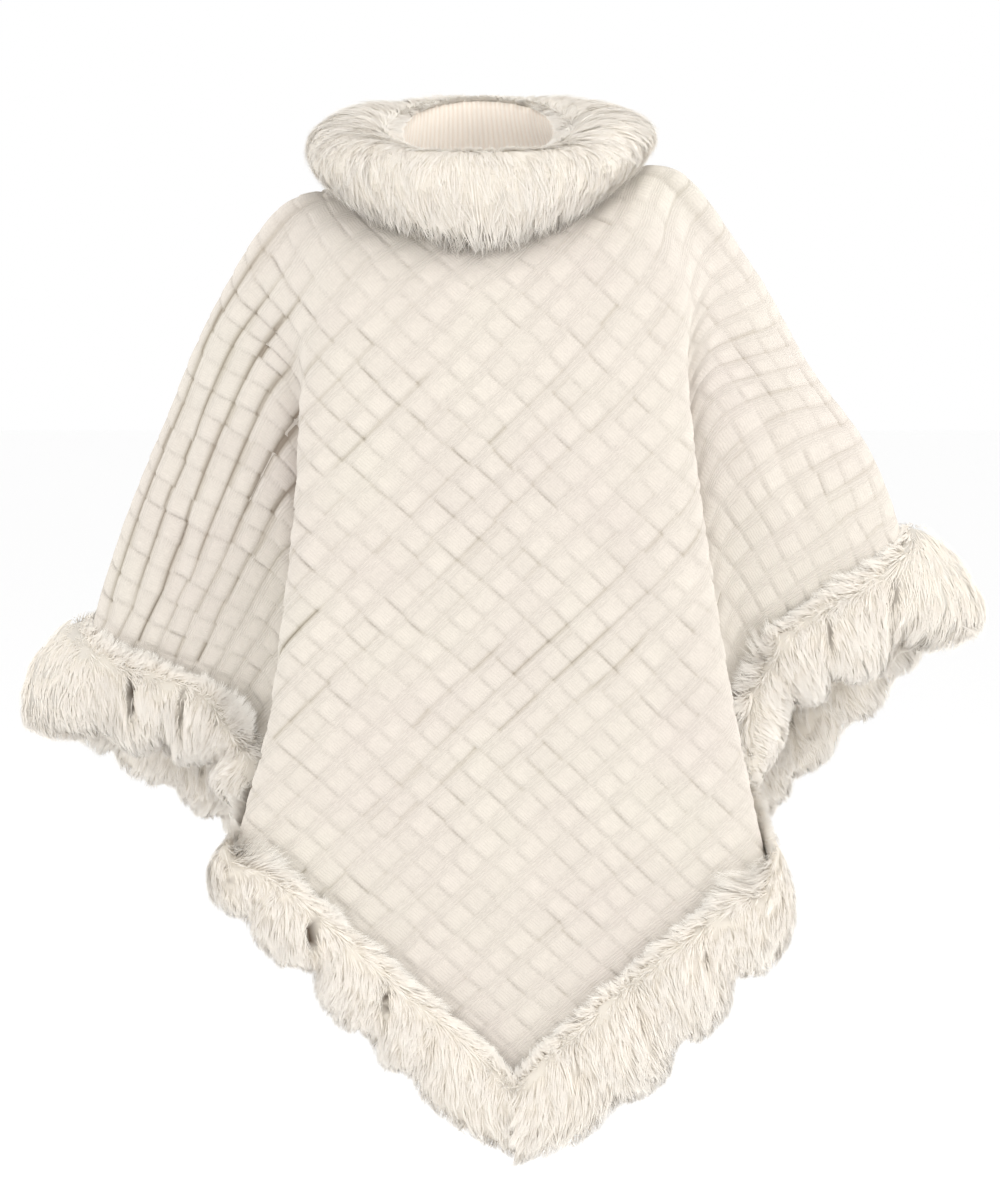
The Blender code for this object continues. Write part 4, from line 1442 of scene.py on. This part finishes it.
        # The edge over the knit is soft and uneven
        edge = 0.5 + 0.5 * SoftNoise(self.seed + 8, self.edge_width).at(run, 0 * run)
        reach = 0.5 * edge + 0.3 * rng.uniform(0, 1, self.locks)[lock] + 0.2 * rng.uniform(0, 1, total)
        back = self.lip[0] + (self.lip[1] - self.lip[0]) * reach
        back = back + np.interp(run, np.linspace(0.0, roll.run_length, len(self.lip_more)), self.lip_more)
        tip = tip + (end + over * back[:, None] - tip) * lip[:, None]
        if self.overhang > 0:
            hang = smooth_step((girth / roll.girth_length - self.hang_start) / 0.3) * self.overhang
            tip = tip + np.array([0.0, 0.0, -1.0]) * (hang * rng.uniform(0.2, 1.0, total))[:, None]
        rise = np.linalg.norm(outer - centre, axis=1)
        bend = root + normal * (rise * self.bend_rise)[:, None] + (tip - root) * self.bend_ahead
        # The hair of the sewn edges lies and shades like the face beside it, and not like the seam
        low, high = (share * roll.girth_length for share in self.shade_girth)
        shade = unit(roll.read(roll.normals, tip_run, np.clip(tip_girth, low, high)))
        return LaidHairs(root, bend, tip, shade, stray)

    def comb(self) -> ClothMesh:
        """Makes the hair.

        Returns:
            The hairs as one mesh, with the share along each hair and its own tone as texture places.
        """
        rng = np.random.default_rng(self.seed)
        locks = self.plant_locks(rng)
        hairs = self.plant_hairs(rng, locks)
        laid = self.lay(rng, locks, hairs)
        total, per_hair = len(laid.root), 2 * self.parts + 1
        share = np.linspace(0.0, 1.0, self.parts + 1)
        spine = (
            laid.root[:, None] * ((1 - share) ** 2)[None, :, None]
            + laid.bend[:, None] * (2 * share * (1 - share))[None, :, None]
            + laid.tip[:, None] * (share**2)[None, :, None]
        )
        ways = unit(np.gradient(spine, axis=1))
        beside = unit(np.cross(ways, np.repeat(laid.normal[:, None], self.parts + 1, axis=1)))
        twist = rng.normal(0, 0.10, total)[:, None, None]
        beside = beside * np.cos(twist) + np.cross(beside, ways) * np.sin(twist)
        widths = self.hair_width * (1 - share) ** 0.7 * (0.75 + 0.5 * rng.uniform(0, 1, total))[:, None]
        widths = widths * np.where(laid.stray, 0.5, 1.0)[:, None]
        halves = beside[:, :-1] * (widths[:, :-1, None] / 2)
        rungs = np.stack([spine[:, :-1] - halves, spine[:, :-1] + halves], axis=2)
        points = np.concatenate([rungs.reshape(total, 2 * self.parts, 3), spine[:, -1:]], axis=1)
        first = (np.arange(total) * per_hair)[:, None]
        faces: list[list[int]] = []
        for part in range(self.parts - 1):
            faces += (first + 2 * part + np.array([0, 1, 3, 2])).tolist()
        faces += (first + per_hair - np.array([3, 2, 1])).tolist()
        along = np.append(np.repeat(share[:-1], 2), 1.0)[None, :]
        # Some locks of the low edge lie in the shade of the others, painted as shade in the dark root colour
        low_edge = smooth_step((hairs.girth / (self.hair_girth[1] * self.roll.girth_length) - 0.80) / 0.15)
        shaded = (rng.uniform(0, 1, self.locks) < self.painted_shade_share)[hairs.lock] * low_edge
        along = self.root_shade + (1 - self.root_shade) * along
        # Painted shade: hair in the partings and the shaded locks turns to the dark root colour
        along = along * ((1 - 0.9 * hairs.loss) * (1 - 0.85 * shaded))[:, None]
        tone = 0.65 * locks.tone[hairs.lock] + 0.35 * rng.uniform(0, 1, total)
        places = np.stack([along, np.repeat(tone[:, None], per_hair, axis=1)], axis=-1).reshape(-1, 2)
        own = np.cross(ways, beside)
        own = own * np.sign((own * laid.normal[:, None]).sum(axis=2, keepdims=True))
        own = np.concatenate([np.repeat(own[:, :-1], 2, axis=1), own[:, -1:]], axis=1)
        soft = np.repeat(laid.normal[:, None], per_hair, axis=1)
        normals = unit(soft * self.softness + own * (1 - self.softness))
        return ClothMesh(points.reshape(-1, 3), faces, places, None, normals.reshape(-1, 3))

    def core_mesh(self, run_step: int, girth_step: int) -> ClothMesh:
        """Makes the core under the hair.

        Args:
            run_step: how many of the grid's stations go by for each one kept.
            girth_step: the same across the girth.

        Returns:
            The core, closed.
        """
        core, ring = self.roll.core, self.roll.ring
        run = np.linspace(0.0, self.roll.run_length, len(core))[:, None]
        girth = self.roll.girths[None, :]
        _, loss = self.slit_at(run + 0 * girth, girth + 0 * run)
        core = core + (core.mean(axis=1, keepdims=True) - core) * (0.45 * loss)[..., None]
        kept = (slice(None, -1 if ring else None, run_step), slice(None, None, girth_step))
        grid, loss = core[kept], loss[kept]
        index = np.arange(loss.size).reshape(loss.shape)
        faces = wrapped_faces(index, np.roll(index, -1, 0)) if ring else wrapped_faces(index[:-1], index[1:])
        points = grid.reshape(-1, 3)
        middle = np.repeat(grid.mean(axis=1, keepdims=True), grid.shape[1], axis=1).reshape(-1, 3)
        first = points[faces[:, 0]]
        cross = np.cross(points[faces[:, 1]] - first, points[faces[:, 3]] - first)
        inside_out = ((first - middle[faces[:, 0]]) * cross).sum() < 0
        made = (faces[:, ::-1] if inside_out else faces).tolist()
        if not ring:
            ends = [index[0].tolist(), index[-1][::-1].tolist()]
            made += [end[::-1] for end in ends] if inside_out else ends
        places = np.full((len(points), 2), 0.5)
        # Painted shade: the core turns to the dark root colour in the partings
        places[:, 0] = self.core_shade - self.core_shade * np.minimum(loss.ravel() * 1.4, 1.0)
        return ClothMesh(points, made, places, None, unit(points - middle))


def to_core(outer: Array, share: float, along: Array, fill: float) -> Array:
    """A roll's core.

    Args:
        outer: the outer grid.
        share: the core's size as a share of the roll's.
        along: how near each girth place lies to the cloth it is sewn on, from 0 to 1.
        fill: how much of the rest is filled there.

    Returns:
        The core's grid.
    """
    middle = outer.mean(axis=1, keepdims=True)
    return middle + (outer - middle) * (share + (1 - share) * fill * along)[None, :, None]


def swollen(outer: Array, swell: Array) -> Array:
    """A roll's outer grid, moved off the middle of each section by the swell at each place."""
    return outer + unit(outer - outer.mean(axis=1, keepdims=True)) * swell[..., None]


@dataclass
class CollarFur:
    """The fur round the collar, combed outwards from the rim over the shoulders."""

    tube: CollarTube
    finish: bpy.types.Material
    stations: int = 240
    foot_above: float = 0.011
    below_rim: float = 0.002
    round_share: float = 0.56
    gap: float = 0.0011
    over_rim: float = 0.0062
    rim_in: float = 0.002
    rim_out: float = 0.003
    lump: float = 0.003
    lumps: int = 5
    angles: tuple[int, ...] = (106, 76, 46, 18, -10, -38, -66, -92)
    around: int = 73
    swell: float = 0.0025
    swell_seed: int = 41
    core_share: float = 0.88

    def roll(self) -> PileRoll:
        """The collar's roll, from the rim over its top and round its low edge to the tube.

        Returns:
            The roll, open at the tube's side.
        """
        azimuth = np.linspace(0.0, 360.0, self.stations + 1)
        turn = np.radians(azimuth)
        outward = np.stack([np.sin(turn), -np.cos(turn), 0 * turn], axis=-1)
        upward = np.array([0.0, 0.0, 1.0])
        lump = self.lump * np.sin(turn * self.lumps + 0.6 * np.sin(3 * turn))
        reach = ring_column(COLLAR_FUR, "reach", azimuth) + lump
        low = ring_column(COLLAR_FUR, "low", azimuth)
        high = ring_column(COLLAR_FUR, "high", azimuth)
        rim = self.tube.rim_height(azimuth) - self.below_rim
        foot = ring_column(NECK_RING, "z", azimuth) + self.foot_above
        rim_radius = self.tube.radius_at(azimuth, rim) + self.gap
        inside = rim_radius - self.over_rim
        sections = [
            outward * inside[:, None] + upward * (rim - self.rim_in)[:, None],
            outward * rim_radius[:, None] + upward * (rim + self.rim_out)[:, None],
        ]
        width = (reach - rim_radius) * self.round_share
        for angle in np.radians(self.angles):
            radius = reach - width + width * math.cos(angle)
            level = (low + high) / 2 + (high - low) / 2 * math.sin(angle)
            sections.append(outward * radius[:, None] + upward * level[:, None])
        foot_radius = self.tube.radius_at(azimuth, foot) + self.gap
        sections.append(outward * foot_radius[:, None] + upward * foot[:, None])
        outer = np.swapaxes(resampled(np.stack(sections, axis=0), self.around), 0, 1)
        girth = np.linspace(0.0, 0.16, self.around)[None, :]
        run = (azimuth / 360.0 * 0.8)[:, None]
        ends = np.minimum(azimuth, 360.0 - azimuth)[:, None] / 30.0
        puffs = SoftNoise(self.swell_seed, 0.05).at(run + 0 * girth, girth + 0 * run)
        swell = self.swell * puffs * smooth_step(ends)
        at, left = np.arange(self.around), np.arange(self.around)[::-1]
        outer = swollen(outer, swell * (smooth_step(at / 12.0) * smooth_step(left / 12.0))[None, :])
        near_tube = np.clip(1.0 - at / 16.0, 0.0, 1.0) + np.clip((10 - left) / 10.0, 0.0, 1.0)
        return PileRoll(outer, to_core(outer, self.core_share, near_tube, 0.6), ring=True)

    def build(self) -> bpy.types.Object:
        """Makes the core and its hair as one piece.

        Returns:
            The piece.
        """
        roll = self.roll()
        pile = Pile(
            roll=roll,
            seed=7,
            locks=2850,
            parts=3,
            flow=0.026,
            tip_girth=roll.girth_length * 0.84,
            lock_spread=0.0030,
            clump=0.46,
            fan=0.46,
            hair_girth=(0.0, 0.86),
            overhang=0.009,
            painted_shade_share=0.40,
            calm=0.7,
            lip=(0.001, 0.008),
            lip_girth=0.018,
            both_lips=False,
        )
        piece = pile.core_mesh(3, 4).join(pile.comb()).build("fur_collar", self.finish)
        finish_piece(piece, "pile_fur", "collar_fur")
        return piece


@dataclass
class HemFur:
    """A fur strip sewn along a hem, gathered into puffs between its pinches."""

    drape: Drape
    hand: Hand
    finish: bpy.types.Material
    seed: int
    locks: int
    rows_down: int = 24
    fan_share: float = 0.3
    stations: int = 261
    around: int = 65
    swell: float = 0.0022
    core_share: float = 0.86

    @property
    def name(self) -> str:
        """The strip's name without its kind."""
        return f"{self.drape.face.name.lower()}_{self.hand.name.lower()}"

    def hem(self) -> tuple[Array, Array]:
        """The hem's places and normals from the panel's lower point outwards, about half a rib apart.

        Returns:
            The places and the normals.
        """
        columns = 2 * RIB_COUNT
        across = np.linspace(0.0, PANEL_SIDE, columns + 1)
        down = np.linspace(0.0, 1.0, self.rows_down + 1)[:, None]
        start_p, start_q = neck_start(across)
        p = start_p + (PANEL_SIDE - start_p) * down
        q = start_q + (across - start_q) * smooth_step(down / self.fan_share)
        seam = np.zeros(p.shape, bool)
        seam[:, 0] = True
        seam[0, NECK_CUT <= across + 1e-9] = True
        grid, normals = self.drape.surface(p, q, seam)
        left = self.hand is Hand.LEFT
        places = grid[-1, ::-1] if left else grid[::-1, -1]
        upright = normals[-1, ::-1] if left else normals[::-1, -1]
        parts = 1 if left else 2
        at = np.arange((len(places) - 1) * parts + 1) / parts
        low = np.minimum(at.astype(int), len(places) - 2)
        share = (at - low)[:, None]
        return (
            places[low] * (1 - share) + places[low + 1] * share,
            unit(upright[low] * (1 - share) + upright[low + 1] * share),
        )

    def sections(self) -> tuple[Array, Array]:
        """The strip's sections, as its solid has them.

        Returns:
            The sections' corners by station, and how far each station lies below the hem in a fold.
        """
        hem, upright = self.hem()
        run = np.concatenate([[0.0], np.cumsum(np.linalg.norm(np.diff(hem, axis=0), axis=1))])
        run *= PANEL_SIDE / run[-1]
        left, front = self.hand is Hand.LEFT, self.drape.face is Face.FRONT
        from_point = smooth_step(1.0 - run / POINT_FAN)[:, None]
        from_corner = smooth_step(1.0 - (PANEL_SIDE - run) / CORNER_FAN)[:, None]
        weights = bell(run[:, None] - run[None, :], FOLD_SMOOTHING)
        weights /= weights.sum(axis=1, keepdims=True)
        path = hem + (weights @ hem - hem) * (1 - from_point) * (1 - from_corner)
        fold = smooth_step(np.linalg.norm(path - hem, axis=1) / FOLD_OFFSET)[:, None]
        upright = unit((weights @ upright) * fold + upright * (1 - fold))
        towards = unit(np.gradient(path, axis=0))
        away = unit(np.cross(towards, upright))
        if left == front:
            away = -away
        away = away * (1 - from_point) + np.array([0.0, 0.0, -1.0]) * from_point
        away = unit(away * (1 - from_corner) + np.array(self.hand.value) * from_corner)
        to_seam = np.array([0.0, -self.drape.face.value, 0.0])
        across = np.cross(away, unit(towards * (1 - from_corner) + to_seam * from_corner))
        across *= np.sign((across * upright).sum(axis=1, keepdims=True))
        across = unit(across * (1 - from_point) - to_seam * from_point)
        fold, from_corner = fold[:, 0], from_corner[:, 0]
        path[0] += np.array([(-1.0 if left else 1.0) * SEAM_GAP / 2, 0.0, 0.0])
        size = np.ones(len(run))
        for centre, depth in zip(PINCHES[self.name]["run"], PINCHES[self.name]["depth"]):
            size -= depth * bell(run - centre, PINCH_LENGTH)
        size *= 1 - FOLD_NARROWING * fold
        reach = column(STRIP_REACH, "run", self.name, run) * (1 + (CORNER_REACH - 1) * from_corner)
        lowering = FOLD_LOWERING * fold + CORNER_LOWERING * from_corner
        further = column(HAIR_REACH, "run", self.name, run) / max(HEM_SECTION["out"])
        sections = []
        for corner, (out, through) in enumerate(zip(HEM_SECTION["out"], HEM_SECTION["through"])):
            scale = np.ones(len(run)) if corner in HEM_GROOVE_CORNERS else size
            outward = out * scale * reach + lowering + further * max(out, 0.0)
            sections.append(path + away * outward[:, None] + across * (through * scale)[:, None])
        made = np.stack(sections, axis=1)
        side = self.drape.face.value
        clear = side * path[-1, 1] + CORNER_CLEARANCE * (PANEL_SIDE - run)
        made[..., 1] = side * np.maximum(side * made[..., 1], clear[:, None])
        return made, FOLD_LOWERING * fold

    def roll(self, sections: Array) -> PileRoll:
        """The strip's roll, from the knit over its outer face, round its edge and back on its inner face.

        Args:
            sections: the strip's sections.

        Returns:
            The roll.
        """
        outer = resampled(sections, self.stations)
        outer = np.swapaxes(resampled(np.swapaxes(outer, 0, 1), self.around), 0, 1)
        run = np.linspace(0.0, PANEL_SIDE, self.stations)[:, None]
        girth = np.linspace(0.0, 0.19, self.around)[None, :]
        swell = self.swell * SoftNoise(self.seed + 5, 0.028).at(run + 0 * girth, girth + 0 * run)
        at, left = np.arange(self.around), np.arange(self.around)[::-1]
        outer = swollen(outer, swell * (smooth_step(at / 10.0) * smooth_step(left / 10.0))[None, :])
        near_knit = np.clip(1.0 - at / 5.0, 0.0, 1.0) + np.clip((5 - left) / 5.0, 0.0, 1.0)
        return PileRoll(outer, to_core(outer, self.core_share, near_knit, 0.0), ring=False)

    def build(self) -> bpy.types.Object:
        """Makes the core and its hair as one piece.

        Returns:
            The piece.
        """
        sections, lowered = self.sections()
        roll = self.roll(sections)
        scale = roll.run_length / PANEL_SIDE
        pinches = PINCHES[self.name]
        slits = tuple(
            (run * scale, strength)
            for run, strength in zip(pinches.get("slit_run", pinches["run"]), pinches["slit"])
        )
        pile = Pile(
            roll=roll,
            seed=self.seed,
            locks=self.locks,
            parts=2,
            flow=0.0136,
            tip_girth=roll.girth_length * 0.5,
            slits=slits,
            lean=0.55,
            fan=0.50,
            over_start=(0.005 if self.hand is Hand.LEFT else -0.005, 0.0, 0.0),
            over_end=(0.0, -0.008 * self.drape.face.value, 0.0),
            lip_more=tuple(2.0 * lowered),
            hair_girth=(0.02, 0.98),
        )
        piece = pile.core_mesh(3, 3).join(pile.comb()).build(f"fur_hem_{self.name}", self.finish)
        finish_piece(piece, "pile_fur", f"hem_fur_{self.name}")
        return piece


# ---------------------------------------------------------------------------------------------------------
# Studio


@dataclass
class Studio:
    """White paper, soft lights and the camera; the floor is an adult's shoulder height below the origin."""

    floor_level: float = -1.42
    look_at: tuple[float, float, float] = (0.016, 0.0, -0.348)
    distance: float = 3.2
    elevation: float = 5.0
    lens: float = 109.0
    sky: float = 1.0
    key_power: float = 51.0
    fill_power: float = 26.0
    left_power: float = 16.0
    low_left_power: float = 14.0
    low_right_power: float = 17.0

    def add_light(
        self, name: str, place: tuple[float, float, float], size: float, power: float, code: str
    ) -> None:
        """Adds a square soft light that faces the poncho.

        Args:
            name: the light's name.
            place: where it stands.
            size: its side.
            power: in watts.
            code: its sRGB colour.
        """
        light = bpy.data.lights.new(name, "AREA")
        light.shape = "SQUARE"
        light.size = size
        light.energy = power
        light.color = linear(code)[:3]
        lamp = bpy.data.objects.new(name, light)
        lamp.location = place
        lamp.rotation_euler = (Vector((0.0, 0.0, -0.3)) - Vector(place)).to_track_quat("-Z", "Y").to_euler()
        bpy.context.scene.collection.objects.link(lamp)

    def build(self) -> None:
        """Makes the floor, the lights and the camera."""
        bpy.ops.object.select_all(action="DESELECT")
        bpy.ops.mesh.primitive_plane_add(size=60.0, location=(0.0, 0.0, self.floor_level))
        floor = bpy.context.object
        floor.name = "paper_floor"
        bpy.ops.object.transform_apply(location=True, rotation=True, scale=True)
        floor.data.materials.append(StudioPaper().material())
        world = bpy.data.worlds.new("white_studio")
        bpy.context.scene.world = world
        world.use_nodes = True
        sky = world.node_tree.nodes["Background"]
        sky.inputs["Color"].default_value = (1.0, 1.0, 1.0, 1.0)
        sky.inputs["Strength"].default_value = self.sky
        self.add_light("key_softbox", (0.9, -2.4, 2.7), 2.2, self.key_power, "#fffcf7")
        self.add_light("fill_softbox", (2.6, -0.6, 1.6), 1.6, self.fill_power, "#fffdf9")
        self.add_light("left_softbox", (-2.6, -1.0, 1.5), 1.6, self.left_power, "#fffdf9")
        self.add_light("low_left_softbox", (-1.8, -2.2, -0.9), 1.6, self.low_left_power, "#fffaf4")
        self.add_light("low_right_softbox", (2.1, -2.0, -0.7), 1.6, self.low_right_power, "#fffaf4")
        angle = math.radians(self.elevation)
        target = Vector(self.look_at)
        place = target + Vector((0.0, -self.distance * math.cos(angle), self.distance * math.sin(angle)))
        lens = bpy.data.cameras.new("photo_camera")
        lens.lens = self.lens
        lens.sensor_width = 36.0
        lens.sensor_fit = "AUTO"
        lens.clip_start = 0.05
        lens.clip_end = 200.0
        camera = bpy.data.objects.new("photo_camera", lens)
        camera.location = place
        camera.rotation_euler = (target - place).to_track_quat("-Z", "Y").to_euler()
        bpy.context.scene.collection.objects.link(camera)
        bpy.context.scene.camera = camera
        bpy.context.scene.view_settings.view_transform = "Standard"
        bpy.context.scene.view_settings.look = "None"
        LOG.info("studio: floor at %.2f m", self.floor_level)


FRONT_CREASES = (
    Crease((0.40, 0.02), (0.62, 0.10), 0.010, 0.004),
    Crease((0.30, 0.02), (0.64, 0.05), 0.009, 0.003),
    Crease((0.06, 0.36), (0.10, 0.62), 0.010, 0.003),
    Crease((0.26, 0.24), (0.50, 0.30), 0.020, 0.003),
    Crease((0.24, 0.34), (0.34, 0.56), 0.018, 0.003),
)
BACK_CREASES = (
    Crease((0.38, 0.03), (0.60, 0.08), 0.012, 0.003),
    Crease((0.05, 0.34), (0.09, 0.60), 0.012, 0.003),
    Crease((0.25, 0.28), (0.48, 0.36), 0.022, 0.003),
)
# Ribs whose groove is deeper and darker with painted shade for a while, with the runs where that starts and
# ends
LONG_GROOVES = {
    Face.FRONT: ((8, 0.24, 0.37), (16, 0.37, 0.49), (5, 0.34, 0.50), (11, 0.44, 0.60), (19, 0.28, 0.36)),
    Face.BACK: ((7, 0.30, 0.46), (13, 0.40, 0.55), (18, 0.25, 0.38)),
}


def main() -> None:
    """Builds the studio and the poncho's pieces in order."""
    logging.basicConfig(level=logging.INFO, format="%(name)s: %(message)s")
    Studio().build()
    knit = BasketKnit().material()
    rib = RibKnit().material()
    fur = PileFur().material()
    tube = CollarTube(rib)
    collar = tube.build()
    collar_fur = CollarFur(tube, fur).build()
    for drape, creases, seed, locks in (
        (Drape(Face.FRONT, FRONT_MIDDLE, FRONT_LEFT, FRONT_RIGHT, 1.08), FRONT_CREASES, 21, 4300),
        (Drape(Face.BACK, BACK_MIDDLE, BACK_LEFT, BACK_RIGHT, 1.04), BACK_CREASES, 51, 2900),
    ):
        panel = KnitPanel(drape, knit, creases, seed, long_grooves=LONG_GROOVES[drape.face]).build()
        strips = [
            HemFur(drape, hand, fur, seed + 2 + place, locks).build() for place, hand in enumerate(Hand)
        ]


if __name__ == "__main__":
    main()
